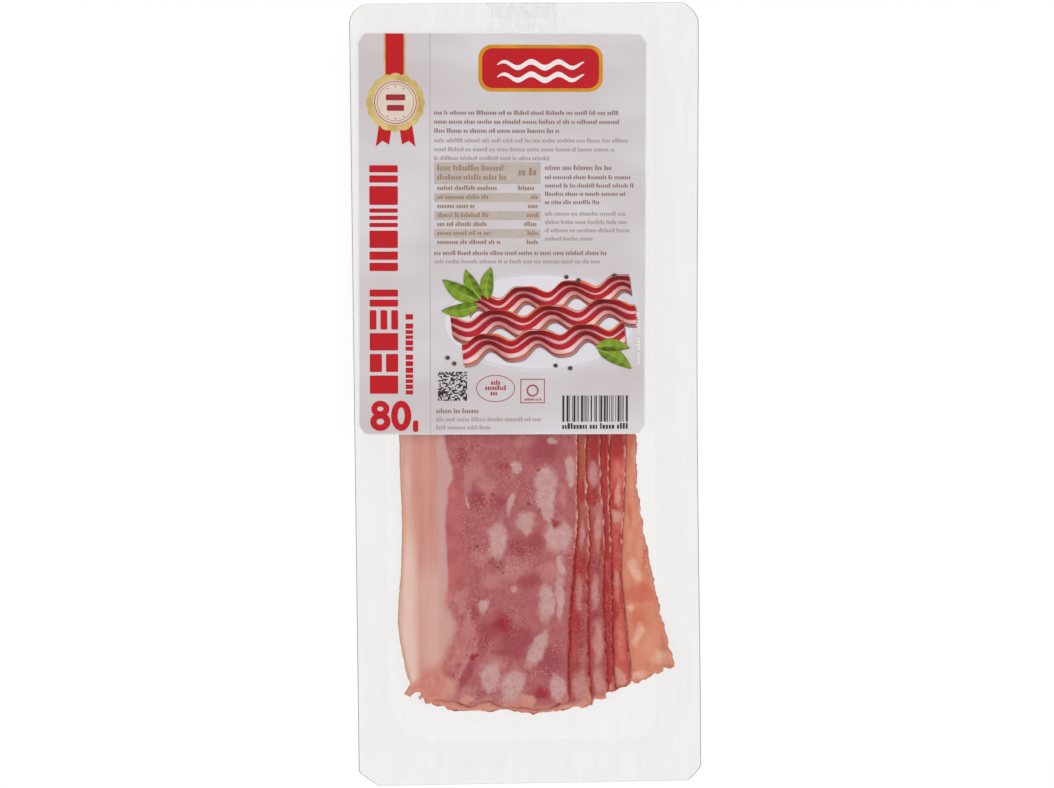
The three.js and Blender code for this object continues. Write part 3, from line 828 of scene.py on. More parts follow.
def line_at(points, y):
    """X of a line of points (x, y) at some heights along the pack."""
    line = sorted(points, key=lambda point: point[1])
    return np.interp(y, [point[1] for point in line], [point[0] for point in line])


def below(edge, value, softness):
    """1 well below an edge, 0 well above it."""
    return np.clip(0.5 + (edge - value) / (2 * softness), 0, 1)


def paint_marbling(piece, index, x, y, distance):
    """Masks for the slice's fat, lean and rind, and for the dark line of painted shade beside the slice that
    lies on it.
    """
    patches = MARBLING[index]
    warped_x, warped_y = warped(x, y, index)
    for name in ("pale", "haze", "rose", "deep", "blush", "brown", "grain", "pit"):
        softness = 0.8 if name in ("grain", "haze", "deep") else 0.5
        store(piece, name, patch_mask(warped_x, warped_y, patches.get(name, []), softness))
    left_x = x - SLICES[index]["set_in"]
    paint_fat(piece, index, left_x, y, warped_x, warped_y)
    leftmost = left_x < LEFT_RIM
    gold = np.exp(-(distance / 1.3) ** 2) * leftmost
    store(piece, "gold", gold * (0.75 + 0.4 * soft_noise(x * 0.1, y, 9, index + 81)))
    at_foot = smoothstep(-y, *FOOT_RIM)
    width = 0.8 + 0.9 * at_foot
    edge_strength = np.maximum(at_foot * (0.6 if index == 0 else 1), 0.35 * ~leftmost)
    store(piece, "rind", np.exp(-(distance / width) ** 2) * edge_strength)
    paint_seam_shade(piece, index, x, y, distance)


def paint_fat(piece, index, x, y, warped_x, warped_y):
    """Masks for the fat along the left side and for the band of lean beside it."""
    patches = MARBLING[index]
    wander = 0.35 * soft_noise(x * 0.3, y, 2.6, index + 91) + 0.25 * soft_noise(x * 0.3, y, 7, index + 95)
    fat_edge = line_at(FAT_EDGE, y) + wander
    low_part = smoothstep(-y, 58, 74)
    fuzzy = 0.9 + 2.1 * smoothstep(-y, 72, 80)
    fat = below(fat_edge - 0.8 * smoothstep(-y, 72, 80), x, fuzzy)
    band = below(line_at(BAND_EDGE, y) - 0.4 + wander, x, 1.5) * (1 - below(fat_edge, x, 0.7))
    store(piece, "band", np.maximum(band, patch_mask(warped_x, warped_y, patches.get("band", []), 0.5)))
    salmon = patch_mask(warped_x, warped_y, patches.get("salmon", []))
    store(piece, "salmon", np.maximum(fat, salmon))
    foot_fade = smoothstep(y, -105, -97)
    white = below(x, WHITE_FAT_SIDE + wander, 0.7) * fat * (0.45 + 0.55 * smoothstep(y, -82, -72))
    store(piece, "white", white * foot_fade)
    pink_fat = stripe_mask(x, *PINK_STRIPE) * (0.15 + 0.5 * low_part) + 0.6 * low_part * fat
    store(piece, "pink_fat", pink_fat * foot_fade)
    cream_half = np.interp(y, *zip(*sorted((row[1], row[2]) for row in CREAM_LINE)))
    cream = stripe_mask(x, line_at(CREAM_LINE, y), cream_half, 1.7) * (0.55 + 0.45 * smoothstep(-y, 44, 64))
    store(piece, "cream", cream * smoothstep(y, -114, -108))
    coral_top = np.interp(x, *zip(*CORAL_TOP))
    coral = below(coral_top + 1.5 * wander, y, 2) * fat
    coral_patches = 0.62 * patch_mask(warped_x, warped_y, patches.get("coral", []), 0.7)
    store(piece, "coral", np.maximum(coral, coral_patches))


def paint_seam_shade(piece, index, x, y, distance):
    """Painted shade as deep red lines beside the slice above and on the slice's own right edge, and a pale
    glint there.
    """
    core = np.zeros(len(x))
    glow = np.zeros(len(x))
    core_high, core_low, fade_share = SEAM_SHADE_WIDTHS[index]
    low_part = smoothstep(-y, 48, 66)
    swell = 1 + 0.55 * soft_noise(x * 0.15, y, 5, index + 61)
    swell += 0.3 * soft_noise(x * 0.15, y, 1.8, index + 65)
    swell *= 1 - 0.45 * smoothstep(-y, 100, 109)
    width = np.maximum((core_high + (core_low - core_high) * low_part) * swell, 0.25)
    foot_start = np.where(x < 12, 105, 111)
    foot_break = 0.9 - 0.5 * np.clip(soft_noise(x, y * 0.1, 3.4, index + 79), 0, 1)
    above_foot = 1 - foot_break * smoothstep(-y - foot_start, 0, 6)
    # The painted shade and its red fade beside each slice that lies above
    for above in OUTLINES[:index]:
        beside = np.maximum(outline_distance(above, x, y)[0], 0)
        core = np.maximum(core, np.exp(-(beside / width) ** 2))
        glow = np.maximum(glow, fade_share * np.exp(-(beside / (2.1 * width)) ** 2))
    if index < len(SLICES) - 1:
        # Painted shade also along the slice's own right edge, stronger low down
        own_side = (x > 0) * (0.35 + 0.65 * smoothstep(-y, 44, 56))
        glow = np.maximum(glow, 0.85 * own_side * np.exp(-(distance / 1.15) ** 2))
        core = np.maximum(core, 0.75 * own_side * np.exp(-(distance / 0.8) ** 2))
    uneven = 0.85 + 0.5 * soft_noise(x * 0.3, y, 3, index + 71)
    # A broken line of painted shade along the slice's own foot edge
    foot_line = np.clip(0.35 + 1.4 * soft_noise(x, y * 0.1, 4, index + 73), 0, 0.9)
    foot_line *= smoothstep(-y, 112, 115) * np.exp(-(distance / 0.3) ** 2)
    store(piece, "seam_shade", np.maximum(core * uneven * above_foot, foot_line))
    store(piece, "seam_shade_fade", glow * above_foot)
    low_share = 0 if index == 0 else 0.5
    upper_part = low_share + (1 - low_share) * smoothstep(y, -66, -54)
    broken = np.clip(0.7 + 1.3 * soft_noise(x * 0.1, y, 2.6, index + 77), 0, 1)
    glint = np.exp(-((distance + 0.12) / 0.42) ** 2) * (x > 0) * upper_part * broken
    if index == len(SLICES) - 1:
        glint *= 0.25 + 0.75 * np.exp(-((y - BRIGHT_SPOT) / 2.6) ** 2)
    store(piece, "glint", glint)


def bacon():
    materials = {name: bacon_material(name) for name in BACON_KINDS}
    for index, name in enumerate(SLICE_MATERIALS):
        bacon_slice(index, materials[name])


# The print: every shape is drawn flat in the label's frame, then laid on the label

def place_flat(bm, made, centre, size):
    bmesh.ops.scale(bm, verts=made, vec=(*size, 1))
    bmesh.ops.translate(bm, verts=made, vec=(*centre, 0))


def draw_block(bm, left, bottom, right, top):
    columns = max(1, round((right - left) / INK_CELL))
    rows = max(1, round((top - bottom) / INK_CELL))
    made = add_cells(bm, columns, rows)
    place_flat(bm, made, ((left + right) / 2, (bottom + top) / 2), (right - left, top - bottom))


def draw_frame(bm, left, bottom, right, top, width):
    """Four blocks around a square or box."""
    for low in (bottom, top - width):
        draw_block(bm, left, low, right, low + width)
    for low in (left, right - width):
        draw_block(bm, low, bottom, low + width, top)


def draw_disc(bm, centre, radius_x, radius_y, segments=48):
    """A disc or oval: its rim, joined to smaller ovals inside it and filled in the middle."""
    rings = max(1, round(max(radius_x, radius_y) / INK_CELL))
    made = []
    edges = []
    for ring in range(rings):
        share = 1 - ring / rings
        oval = bmesh.ops.create_circle(bm, cap_ends=ring == rings - 1, segments=segments, radius=1)["verts"]
        place_flat(bm, oval, centre, (radius_x * share, radius_y * share))
        made += oval
        loop = list({edge for vert in oval for edge in vert.link_edges})
        if edges:
            bmesh.ops.bridge_loops(bm, edges=edges + loop)
        edges = loop
    return made


def draw_ring(bm, centre, radius_x, radius_y, width, segments=64):
    """An oval line: two circles bridged."""
    edges = []
    for inset in (0, width):
        made = bmesh.ops.create_circle(bm, segments=segments, radius=1)["verts"]
        place_flat(bm, made, centre, (radius_x - inset, radius_y - inset))
        edges += list({edge for vert in made for edge in vert.link_edges})
    bmesh.ops.bridge_loops(bm, edges=edges)


def draw_rounded(bm, left, bottom, right, top, radius):
    """A block with round corners: rows of cells that are shorter towards its ends."""
    columns = max(2, round((right - left) / INK_CELL))
    middle_rows = max(1, round((top - bottom) / INK_CELL))
    rows = 2 * CORNER_ROWS + middle_rows
    step = (top - bottom - 2 * radius) / middle_rows
    for vert in add_cells(bm, columns, rows):
        row = round((vert.co.y + 0.5) * rows)
        from_end = min(row, rows - row)
        angle = math.pi / 2 * min(from_end / CORNER_ROWS, 1)
        rise = radius * (1 - math.cos(angle)) + step * max(from_end - CORNER_ROWS, 0)
        half = (right - left) / 2 - radius * (1 - math.sin(angle))
        level = bottom + rise if row == from_end else top - rise
        vert.co = ((left + right) / 2 + 2 * half * vert.co.x, level, 0)


def on_pack(x, y):
    """Places in the label's frame as places on the pack."""
    cosine, sine = math.cos(LABEL_TURN), math.sin(LABEL_TURN)
    return LABEL_CENTRE[0] + x * cosine - y * sine, LABEL_CENTRE[1] + x * sine + y * cosine


def lay_ink(name, bm, material, layer=0):
    """Turns a flat drawing with the label, gives it the thickness of ink and lays it on the paper."""
    for face in bm.faces:
        if face.normal.z < 0:
            face.normal_flip()
    bmesh.ops.remove_doubles(bm, verts=bm.verts, dist=0.001)
    bmesh.ops.triangulate(bm, faces=[face for face in bm.faces if len(face.verts) > 4])
    x, y = on_pack(*places(bm)[:, :2].T)
    level = LABEL_LEVEL + LABEL_THICKNESS + INK_GAP + layer * (INK_THICKNESS + INK_GAP) + INK_THICKNESS
    move_to(bm, x, y, level + pocket_waves(x, y))
    thicken(finish_mesh(name, bm, material, smooth=False), INK_THICKNESS)


def draw_print_line(bm, left, baseline, right, height, chance):
    """A line of small print as plain strokes, in groups as long as words."""
    x = left
    while x < right - height:
        for _ in range(chance.randint(2, 9)):
            width = height * chance.uniform(0.38, 0.62)
            if x + width > right:
                return
            tall = height * chance.choice((1, 1, 1, 1.45))
            draw_block(bm, x, baseline, x + width, baseline + tall)
            x += width + height * 0.22
        x += height * 0.5


def draw_paragraph(bm, left, top, right, lines, pitch, height, chance):
    for line in range(lines):
        end = right - chance.uniform(0, 0.12) * (right - left)
        if line == lines - 1:
            end = left + (right - left) * chance.uniform(0.45, 0.75)
        draw_print_line(bm, left, top - pitch * (line + 0.8), end, height, chance)


# Paragraphs: left, top, right, number of lines, pitch and height; lines: left, foot, right and height
BROWN_PRINT = [(-25.5, 47.3, 48, 3, 3.35, 1.15), (15.9, 26.6, 50.6, 1, 3.1, 1.3),
               (15.9, 23.2, 50.6, 4, 3.1, 1.1), (-25.5, -7.6, 39.6, 1.15), (-24.8, -64.5, 3.5, 1, 3, 1.25)]
GREY_PRINT = [(-25.5, 37, 48, 3, 3.3, 1.1), (15.9, 9.6, 50.6, 4, 3.1, 1.1), (-25.5, -10.7, 38, 1.1),
              (-24.8, -70, 14.5, 1.15), (-24.8, -73, -4, 1.15)]


def small_print():
    chance = random.Random(SEED)
    kinds = (("brown", BROWN_PRINT, (150, 120, 116)), ("grey", GREY_PRINT, (171, 155, 154)))
    for name, rows, colour in kinds:
        lines = bmesh.new()
        for row in rows:
            draw = draw_paragraph if len(row) == 6 else draw_print_line
            draw(lines, *row, chance)
        lay_ink(f"print_{name}", lines, ink_material(f"{name}_ink", colour))


TABLE_LEFT, TABLE_RIGHT, TABLE_TOP, TABLE_BOTTOM = -25.5, 14.3, 27.1, -4.6
TABLE_HEAD = 8.2
TABLE_ROWS = 7


def value_table():
    """A banded table: shaded rows with a short print line at each side."""
    left, right, top = TABLE_LEFT, TABLE_RIGHT, TABLE_TOP
    row = (top - TABLE_BOTTOM - TABLE_HEAD) / TABLE_ROWS
    bands = bmesh.new()
    draw_block(bands, left, top - TABLE_HEAD, right, top)
    chance = random.Random(SEED + 1)
    lines = bmesh.new()
    draw_print_line(lines, left + 1.2, top - 3.2, left + 27, 1.5, chance)
    draw_print_line(lines, left + 1.2, top - 6.6, left + 27, 1.4, chance)
    draw_print_line(lines, right - 8.2, top - 5, right - 1, 2, chance)
    for index in range(TABLE_ROWS):
        base = top - TABLE_HEAD - row * (index + 1)
        if index % 2:
            draw_block(bands, left, base, right, base + row)
        draw_print_line(lines, left + 1.2, base + 1.1, left + chance.uniform(14, 26), 1.2, chance)
        draw_print_line(lines, right - chance.uniform(3.5, 9), base + 1.1, right - 0.8, 1.2, chance)
    lay_ink("table_bands", bands, ink_material("beige_ink", (182, 170, 162), (190, 178, 170)))
    lay_ink("table_print", lines, ink_material("table_ink", (158, 128, 108)), layer=1)


# The red column: its sides, its foot, the bars in each of its blocks, and the space between blocks and bars
TITLE_LEFT, TITLE_RIGHT, TITLE_FOOT = -49.6, -39, -59.5
TITLE_PARTS = (1, 2, 1, 3, 2, 0, 2, 1, 3, 1, 2)
TITLE_BREAK, BLOCK_SPACE, ACROSS_SPACE, UP_SPACE = 5.6, 1.3, 1.5, 1.1
SIDE_LEFT, SIDE_RIGHT, SIDE_FOOT, SIDE_TOP = -36.2, -33.4, -59.8, -29.5


def title_column():
    """The red column: heavy plain bars up the label's left side, and a row of small ones beside it."""
    chance = random.Random(SEED + 2)
    red = bmesh.new()
    y = TITLE_FOOT
    for block, parts in enumerate(TITLE_PARTS):
        length = chance.uniform(6.4, 7.4)
        if not parts:
            y += TITLE_BREAK
            continue
        for part in range(parts):
            if block % 2:
                width = (TITLE_RIGHT - TITLE_LEFT - ACROSS_SPACE * (parts - 1)) / parts
                start = TITLE_LEFT + part * (width + ACROSS_SPACE)
                draw_rounded(red, start, y, start + width, y + length, 0.4)
            else:
                width = (length - UP_SPACE * (parts - 1)) / parts
                start = y + part * (width + UP_SPACE)
                draw_rounded(red, TITLE_LEFT, start, TITLE_RIGHT, start + width, 0.4)
        y += length + BLOCK_SPACE
    small = SIDE_FOOT
    while small < SIDE_TOP:
        length = chance.uniform(1.3, 2.1)
        draw_block(red, SIDE_LEFT, small, SIDE_RIGHT, small + length)
        small += length + (1.5 if chance.random() < 0.2 else 0.5)
    lay_ink("title_blocks", red, ink_material("red_ink", (190, 12, 26), (184, 16, 28), 12))


# The figures' rings: centre, half width, half height, width of the line and number of sides
EIGHT_RINGS = [((-45.7, -65.2), 3.4, 3.1, 2.25, 40), ((-45.7, -70), 3.8, 3.5, 2.4, 40)]
NOUGHT_RING = ((-37.9, -67.8), 3.8, 5.7, 2.5, 48)
SMALL_BLOCK = (-33.5, -73.9, -31.5, -69.6, 0.7)


def weight_figure():
    """A large plain number, 80, with a small block beside it."""
    red = bmesh.new()
    for ring in EIGHT_RINGS:
        draw_ring(red, *ring)
    lay_ink("figure_eight", red, bpy.data.materials["red_ink"])
    red = bmesh.new()
    draw_ring(red, *NOUGHT_RING)
    draw_rounded(red, *SMALL_BLOCK)
    lay_ink("figure_nought", red, bpy.data.materials["red_ink"])


SEAL_CENTRE = (-39.8, 49.1)
SEAL_RADIUS, FACE_RADIUS, DOT_CIRCLE = 10.6, 8.3, 5.9
RIBBON_LEFT, RIBBON_RIGHT, RIBBON_FOOT, RIBBON_TOP, EDGING_WIDTH = -43.5, -36.7, 55, 74.6, 0.6


def seal():
    """A scalloped gold seal on a red ribbon."""
    centre_x, centre_y = SEAL_CENTRE
    ribbon = bmesh.new()
    draw_block(ribbon, RIBBON_LEFT, RIBBON_FOOT, RIBBON_RIGHT, RIBBON_TOP)
    for side in (-1, 1):
        for vert in add_cells(ribbon, 2, 2):
            across, down = vert.co.x + 0.5, 0.5 - vert.co.y
            notch = 1.8 * (1 - abs(2 * across - 1)) if down > 0.9 else 0
            away = side * (1.2 + 5 * across + 1.2 * down)
            vert.co = (centre_x + away, 41.5 - 8 * down + notch - 0.8 * across, 0)
    lay_ink("ribbon", ribbon, bpy.data.materials["red_ink"])
    edging = bmesh.new()
    for left in (RIBBON_LEFT - EDGING_WIDTH, RIBBON_RIGHT):
        draw_block(edging, left, RIBBON_FOOT, left + EDGING_WIDTH, RIBBON_TOP)
    for vert in draw_disc(edging, SEAL_CENTRE, SEAL_RADIUS, SEAL_RADIUS, 128):
        away = Vector((vert.co.x - centre_x, vert.co.y - centre_y, 0))
        vert.co += away * 0.055 * (abs(math.cos(8 * math.atan2(away.y, away.x))) - 0.4)
    gold = ink_material("gold_ink", (190, 158, 84), (214, 190, 128), 5, 0.3)
    lay_ink("seal_gold", edging, gold, layer=1)
    face = bmesh.new()
    draw_disc(face, SEAL_CENTRE, FACE_RADIUS, FACE_RADIUS, 72)
    lay_ink("seal_face", face, ink_material("cream_ink", (222, 208, 192), (214, 198, 184), 6), layer=2)
    lines = bmesh.new()
    draw_ring(lines, SEAL_CENTRE, 7.9, 7.9, 0.28)
    draw_ring(lines, SEAL_CENTRE, 6.9, 6.9, 0.16)
    draw_rounded(lines, -43.4, 49.9, -36.2, 52.1, 0.5)
    draw_rounded(lines, -43, 46, -36.6, 48.2, 0.5)
    for angle in range(0, 360, 30):
        if 40 < angle % 180 < 140:
            turn = math.radians(angle)
            dot = (centre_x + DOT_CIRCLE * math.cos(turn), centre_y + DOT_CIRCLE * math.sin(turn))
            draw_disc(lines, dot, 0.26, 0.26, 10)
    lay_ink("seal_lines", lines, ink_material("seal_ink", (158, 34, 40)), layer=3)


# The plaque's rim and face, each as left, foot, right, top and the radius of its corners
BADGE_RIM = (-9, 53.2, 37.4, 70.6, 5)
BADGE_FACE = (-7.6, 54.5, 36, 69.3, 4)
BADGE_WAVES = (58.6, 63.2)


def badge():
    """A plain red plaque with a gold rim and two white waves."""
    gold = bmesh.new()
    draw_rounded(gold, *BADGE_RIM)
    lay_ink("badge_rim", gold, ink_material("badge_gold", (214, 150, 42), (196, 132, 36), 8, 0.3))
    red = bmesh.new()
    draw_rounded(red, *BADGE_FACE)
    lay_ink("badge_face", red, bpy.data.materials["red_ink"], layer=1)
    white = bmesh.new()
    for level in BADGE_WAVES:
        for vert in add_cells(white, 60, 2):
            along = vert.co.x + 0.5
            width = 2.1 * math.sin(math.pi * along) ** 0.4 if 0 < along < 1 else 0.3
            vert.co = (-2 + 32.4 * along, level + 1.1 * math.sin(along * 20) + vert.co.y * width, 0)
    lay_ink("badge_stripe", white, ink_material("white_ink", (238, 232, 230)), layer=2)


def shaded_drawing():
    bm = bmesh.new()
    return bm, bm.verts.layers.float.new("shade")


# The plate's rim and middle: centre, half width, half height and number of sides
PLATE_RIM = ((14, -32.8), 37.5, 18.8, 96)
PLATE_MIDDLE = ((14, -32.6), 35.5, 17.4, 96)
# Each rasher of the picture: where it starts and ends, and where in its wave it starts
PICTURE_RASHERS = [((-13, -27), (48, -19.4), 0.4), ((-19, -35), (50, -28), 2.6),
                   ((-15, -43), (46, -37), 4.4)]
# The bands across a rasher: name, from and to as shares of its width, dark and light tone
RASHER_BANDS = [
    ("rasher_rind", 0, 0.09, (120, 30, 16), (206, 104, 56)),
    ("rasher_fat", 0.09, 0.3, (190, 108, 104), (240, 204, 202)),
    ("rasher_lean", 0.3, 0.56, (104, 8, 18), (190, 34, 44)),
    ("rasher_streak", 0.56, 0.68, (176, 84, 84), (236, 180, 182)),
    ("rasher_deep", 0.68, 0.93, (92, 4, 12), (176, 20, 30)),
    ("rasher_edge", 0.93, 1, (168, 60, 40), (228, 140, 96)),
]
RASHER_WIDTH = 8.6
# Each leaf of the picture: its foot, its length, its width and the way it points
PICTURE_LEAVES = [((-9, -24.5), 15.5, 6, 150), ((-8, -24), 12.5, 5.2, 118), ((-5.5, -24), 12, 5, 84),
                  ((-9, -26.5), 14, 5.2, 188), ((36, -43), 14.5, 5.4, -30), ((35, -42), 13, 4.8, -2)]


PEPPERCORNS = [(-20.5, -46), (-18, -48.2), (20, -49), (25.5, -50), (42, -15.2), (24, -15.8), (28.5, -17)]
# The layers of ink that the picture's parts lie in
FIRST_RASHER_LAYER, LEAF_LAYER, TOP_LAYER = 2, 8.5, 9.5


def draw_rasher(bm, shade, start, end, phase, low, high):
    """One band of a wavy rasher, between two shares of its width."""
    way = Vector((end[0] - start[0], end[1] - start[1]))
    across_way = Vector((-way.y, way.x)).normalized()
    for vert in add_cells(bm, 72, 2):
        along = vert.co.x + 0.5
        share = low + (high - low) * (vert.co.y + 0.5)
        uneven = 0.035 * math.sin(9 * along + phase + 5 * low) + 0.02 * math.sin(23 * along + 3 * phase)
        share += uneven * (0 < low) * (share < 1)
        turn = phase + along * 21
        width = RASHER_WIDTH * (0.92 + 0.12 * math.cos(2 * turn))
        aside = 1.9 * math.sin(turn) + width * (share - 0.5) + 0.5 * math.sin(turn + 2.4 * share)
        vert[shade] = 0.5 + 0.42 * math.cos(turn + 1.6 * share + 0.5)
        vert.co = (*(Vector(start) + way * along + across_way * aside), 0)


def draw_leaf(bm, shade, foot, length, width, angle, rib=False):
    """A pointed leaf, or the light rib along its middle."""
    cosine, sine = math.cos(math.radians(angle)), math.sin(math.radians(angle))
    for vert in add_cells(bm, 16, 2 if rib else 6):
        along = vert.co.x + 0.5
        side = 2 * vert.co.y
        half = 0.12 * (1 - along) + 0.03 if rib else width / 2 * math.sin(math.pi * along ** 0.8) ** 0.8
        x = length * along
        y = side * half + 0.9 * math.sin(math.pi * along)
        veins = 0.15 * math.sin(along * 26 + 2 * abs(side))
        vert[shade] = 0.35 + 0.3 * (side > 0) + 0.3 * (1 - abs(side)) - veins
        vert.co = (foot[0] + x * cosine - y * sine, foot[1] + x * sine + y * cosine, 0)


def picture():
    """A plate of wavy rashers with leaves and peppercorns."""
    rim = bmesh.new()
    draw_disc(rim, *PLATE_RIM)
    lay_ink("plate_rim", rim, ink_material("plate_rim_ink", (205, 200, 206), (214, 209, 214), 20))
    plate = bmesh.new()
    draw_disc(plate, *PLATE_MIDDLE)
    lay_ink("plate", plate, ink_material("plate_ink", (224, 221, 225), (216, 212, 218), 24), layer=1)
    for order, (start, end, phase) in enumerate(PICTURE_RASHERS):
        layer = FIRST_RASHER_LAYER + 2 * order
        moved = [(x + 0.5, y - 1) for x, y in (start, end)]
        shadow, shade = shaded_drawing()
        draw_rasher(shadow, shade, *moved, phase, 0, 1)
        ink = picture_ink("shadow_ink", (128, 84, 88), (168, 132, 136))
        lay_ink(f"rasher_shadow_{order}", shadow, ink, layer)
        for name, low, high, dark, light in RASHER_BANDS:
            band, shade = shaded_drawing()
            draw_rasher(band, shade, start, end, phase, low, high)
            lay_ink(f"{name}_{order}", band, picture_ink(name, dark, light), layer + 1)
    leaves, shade = shaded_drawing()
    ribs, rib_shade = shaded_drawing()
    for foot, length, width, angle in PICTURE_LEAVES:
        draw_leaf(leaves, shade, foot, length, width, angle)
        draw_leaf(ribs, rib_shade, foot, length * 0.9, width, angle, rib=True)
    lay_ink("leaves", leaves, picture_ink("leaf_ink", (34, 66, 10), (138, 164, 44)), LEAF_LAYER)
    lay_ink("leaf_ribs", ribs, picture_ink("rib_ink", (150, 178, 84), (172, 196, 104)), TOP_LAYER)
    corns = bmesh.new()
    for centre in PEPPERCORNS:
        draw_disc(corns, centre, 0.85, 0.8, 14)
    lay_ink("peppercorns", corns, ink_material("pepper_ink", (62, 48, 40), (96, 80, 66), 0.6), TOP_LAYER)


def picture_ink(name, dark, light):
    """Ink that goes from a dark to a light tone as the drawing's own shade does, made once."""
    if name in bpy.data.materials:
        return bpy.data.materials[name]
    material, tree = new_material(name)
    uneven = noise_value(tree, millimetres(tree), 2.5, 3, 0.6)
    tone = blend(tree, unsettled(tree, attribute(tree, "shade"), uneven, 0.6), 0.0, 1.0, dark, light)
    output(tree, principled(tree, tone, 0.35, Specular_IOR_Level=0.4))
    return material


def side_print():
    """A short line of white print that runs up beside the picture."""
    white = bmesh.new()
    draw_print_line(white, 0, 0, 20, 1.1, random.Random(SEED + 6))
    bmesh.ops.rotate(white, verts=white.verts, matrix=Matrix.Rotation(math.radians(90), 3, "Z"))
    bmesh.ops.translate(white, verts=white.verts, vec=(51.8, -48.6, 0))
    lay_ink("side_print", white, bpy.data.materials["white_ink"], TOP_LAYER)


BARS_LEFT, BARS_RIGHT, BARS_FOOT, BARS_TOP = 22.6, 47.4, -70.2, -60.3
BAR_WIDTHS = (0.26, 0.26, 0.52, 0.78)
DOTS_CORNER = (-24.1, -62.2)
DOTS_WIDTH = 10.9
DOT_ROWS = 21
STAMP_CENTRE = (-2.5, -57.6)
MARK_BOX = (6.8, -63.2, 16, -54)
MARK_LINE = 0.35


def codes():
    """A block of bars, a square of dots, an oval stamp and a small square mark."""
    chance = random.Random(SEED + 4)
    black = bmesh.new()
    x = BARS_LEFT
    while x < BARS_RIGHT:
        width = chance.choice(BAR_WIDTHS)
        draw_block(black, x, BARS_FOOT, x + width, BARS_TOP)
        x += width + chance.choice(BAR_WIDTHS)
    draw_print_line(black, BARS_LEFT, -72.9, 47.6, 1.5, random.Random(SEED + 5))
    cell = DOTS_WIDTH / DOT_ROWS
    for row in range(DOT_ROWS):
        for column in range(DOT_ROWS):
            if chance.random() < 0.5:
                left, base = DOTS_CORNER[0] + column * cell, DOTS_CORNER[1] + row * cell
                draw_block(black, left, base, left + cell * 0.98, base + cell * 0.98)
    lay_ink("codes", black, ink_material("black_ink", (42, 34, 36), (52, 44, 46)))
    marks = bmesh.new()
    draw_ring(marks, STAMP_CENTRE, 7.3, 5.1, 0.3)
    for line, half in ((2, 1.7), (0, 3.9), (-2, 1.9)):
        draw_print_line(marks, STAMP_CENTRE[0] - half, -58.2 + line, STAMP_CENTRE[0] + half, 1.25, chance)
    draw_frame(marks, *MARK_BOX, MARK_LINE)
    draw_ring(marks, (11.4, -58.4), 2.3, 2.3, 0.6, 40)
    draw_print_line(marks, 8.2, -62.2, 14.8, 0.7, chance)
    lay_ink("marks", marks, ink_material("mark_ink", (166, 66, 70)))


def label_paper():
    """The paper itself: a sheet of cells with rounded corners, laid on the waving film."""
    columns, rows = LABEL_CELLS
    bm = grid(columns, rows)
    flat = places(bm)[:, :2]
    half_x, half_y = LABEL_WIDTH / 2, LABEL_LENGTH / 2
    y = half_y * (2 * beside_edge(flat[:, 1], rows, PAPER_EDGE / LABEL_LENGTH) - 1)
    inset = corner_inset(half_y - np.abs(y), (LABEL_RADIUS, LABEL_RADIUS, 1))
    x = (half_x - inset) * (2 * beside_edge(flat[:, 0], columns, PAPER_EDGE / LABEL_WIDTH) - 1)
    x, y = on_pack(x, y)
    move_to(bm, x, y, LABEL_LEVEL + LABEL_THICKNESS + pocket_waves(x, y))
    piece = finish_mesh("label_sheet", bm, paper_material())
    # Mask for the pale rim: partly the white paper edge, partly painted highlight
    store(piece, "pale_rim_and_highlight", at_rim(flat).any(axis=1))
    thicken(piece, LABEL_THICKNESS)
    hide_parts("label")


def label():
    label_paper()
    title_column()
    weight_figure()
    seal()
    badge()
    small_print()
    value_table()
    picture()
    side_print()
    codes()
    # A thin grey line down the whole label
    grey_line = bmesh.new()
    draw_block(grey_line, GREY_LINE_LEFT, 0.2 - LABEL_LENGTH / 2, GREY_LINE_LEFT + GREY_LINE_WIDTH, LABEL_LENGTH / 2 - 0.2)
    lay_ink("long_grey_line", grey_line, ink_material("long_line_ink", (176, 168, 172)))


# Films and tape

def lid_level(x, y):
    return LID_LEVEL + LID_THICKNESS + pocket_waves(x, y)


def films():
    tray = film_sheet("tray_shell", tray_level, film_material("tray_film", 1.12))
    thicken(tray, TRAY_WALL)
    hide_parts("tray")
    lid = film_sheet("lid_sheet", lid_level, film_material("lid_film_clear", 1.4))
    thicken(lid, LID_THICKNESS)
    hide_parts("lid_film")


# The tape: its sides, where it starts on the lid, ends under the flange and turns, and its levels
TAPE_LEFT, TAPE_RIGHT = -13.9, 12.1
TAPE_FRONT, TAPE_BACK, TAPE_TURN = 136.5, 141.5, 147.14
TAPE_OVER, TAPE_UNDER = 8.36, 7.5
TAPE_BEND = 0.3
TAPE_DROP = 0.25
TAPE_THICKNESS = 0.06
TAPE_CELLS = (40, 48)


def tape():
    """The strip is one sheet that runs up the lid, round the pack's edge and back under the flange."""
    bend = TAPE_TURN - TAPE_BEND
    run_y = [TAPE_FRONT, bend, TAPE_TURN, TAPE_TURN, bend, TAPE_BACK]
    run_z = [TAPE_OVER, TAPE_OVER, TAPE_OVER - TAPE_DROP, TAPE_UNDER + TAPE_DROP, TAPE_UNDER, TAPE_UNDER]
    steps = np.concatenate([[0], np.cumsum(np.hypot(np.diff(run_y), np.diff(run_z)))])
    bm = grid(*TAPE_CELLS)
    across, along = places(bm)[:, :2].T
    y, z = [np.interp(along * steps[-1], steps, run) for run in (run_y, run_z)]
    x = TAPE_LEFT + (TAPE_RIGHT - TAPE_LEFT) * across + 0.25 * np.sin(y * 1.3) * (across - 0.5)
    move_to(bm, x, y, z)
    bm.normal_update()
    if sum(face.normal.z for face in bm.faces) < 0:
        bmesh.ops.reverse_faces(bm, faces=bm.faces)
    piece = finish_mesh("tape_strip", bm, tape_material())
    thicken(piece, TAPE_THICKNESS)
    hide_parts("tape")


# Floor, light and camera

FLOOR_CELLS = 8
FLOOR_HALF = 2


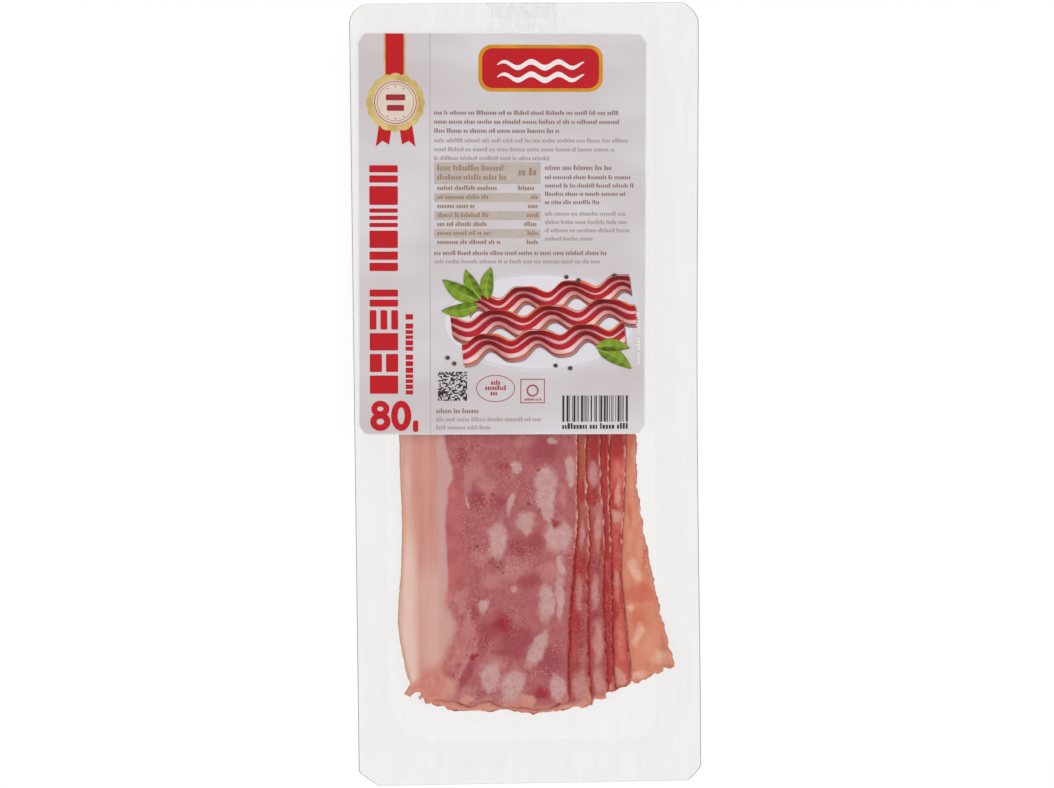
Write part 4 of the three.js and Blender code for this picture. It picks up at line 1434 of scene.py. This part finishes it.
def floor():
    bm = bmesh.new()
    bmesh.ops.create_grid(bm, x_segments=FLOOR_CELLS, y_segments=FLOOR_CELLS, size=FLOOR_HALF)
    mesh = bpy.data.meshes.new("floor")
    bm.to_mesh(mesh)
    bm.free()
    mesh.materials.append(floor_material())
    ground = bpy.data.objects.new("floor", mesh)
    bpy.context.scene.collection.objects.link(ground)


def soft_light(name, place, size, power):
    lamp = bpy.data.lights.new(name, "AREA")
    lamp.shape = "RECTANGLE"
    lamp.size, lamp.size_y = size
    lamp.energy = power
    light = bpy.data.objects.new(name, lamp)
    light.location = place
    light.rotation_euler = (-Vector(place)).to_track_quat("-Z", "Y").to_euler()
    bpy.context.scene.collection.objects.link(light)


# Each lamp: its place and size in metres, and its power in watts
LAMPS = {
    "light_left": ((-1.0, 0.1, 1.15), (0.8, 1.1), 10),
    "light_right": ((0.95, 0.0, 1.15), (0.8, 1.1), 9.2),
    "light_head": ((0.0, 1.25, 1.1), (1.2, 0.7), 6.8),
    "light_foot": ((0.0, -1.2, 1.1), (1.2, 0.7), 6.8),
}
# The sky is brighter low down than overhead
SKY_LOW, SKY_HIGH = 0.37, 0.025
CAMERA_PLACE = (-0.05028, 0.08871, 1.10295)
CAMERA_TURN = (-4.5444, -2.6585, -0.4668)


def lights():
    for name, lamp in LAMPS.items():
        soft_light(name, *lamp)
    world = bpy.data.worlds.new("studio")
    bpy.context.scene.world = world
    world.use_nodes = True
    tree = world.node_tree
    tree.nodes.clear()
    direction = add_node(tree, "TexCoord").outputs["Generated"]
    height = add_node(tree, "SeparateXYZ", (direction,)).outputs[2]
    level = ramp(tree, height, 0.3, 0.85, SKY_LOW, SKY_HIGH)
    background = add_node(tree, "Background", ((1, 1, 1, 1), level)).outputs[0]
    add_node(tree, "OutputWorld", (background,))


def camera():
    lens = bpy.data.cameras.new("camera")
    lens.lens = 100
    lens.sensor_width = 36
    lens.clip_start = 0.01
    view = bpy.data.objects.new("camera", lens)
    view.location = CAMERA_PLACE
    view.rotation_euler = [math.radians(angle) for angle in CAMERA_TURN]
    scene = bpy.context.scene
    scene.collection.objects.link(view)
    scene.camera = view
    scene.view_settings.view_transform = "Standard"
    scene.cycles.transparent_max_bounces = 32


camera()
lights()
floor()
films()
bacon()
label()
tape()
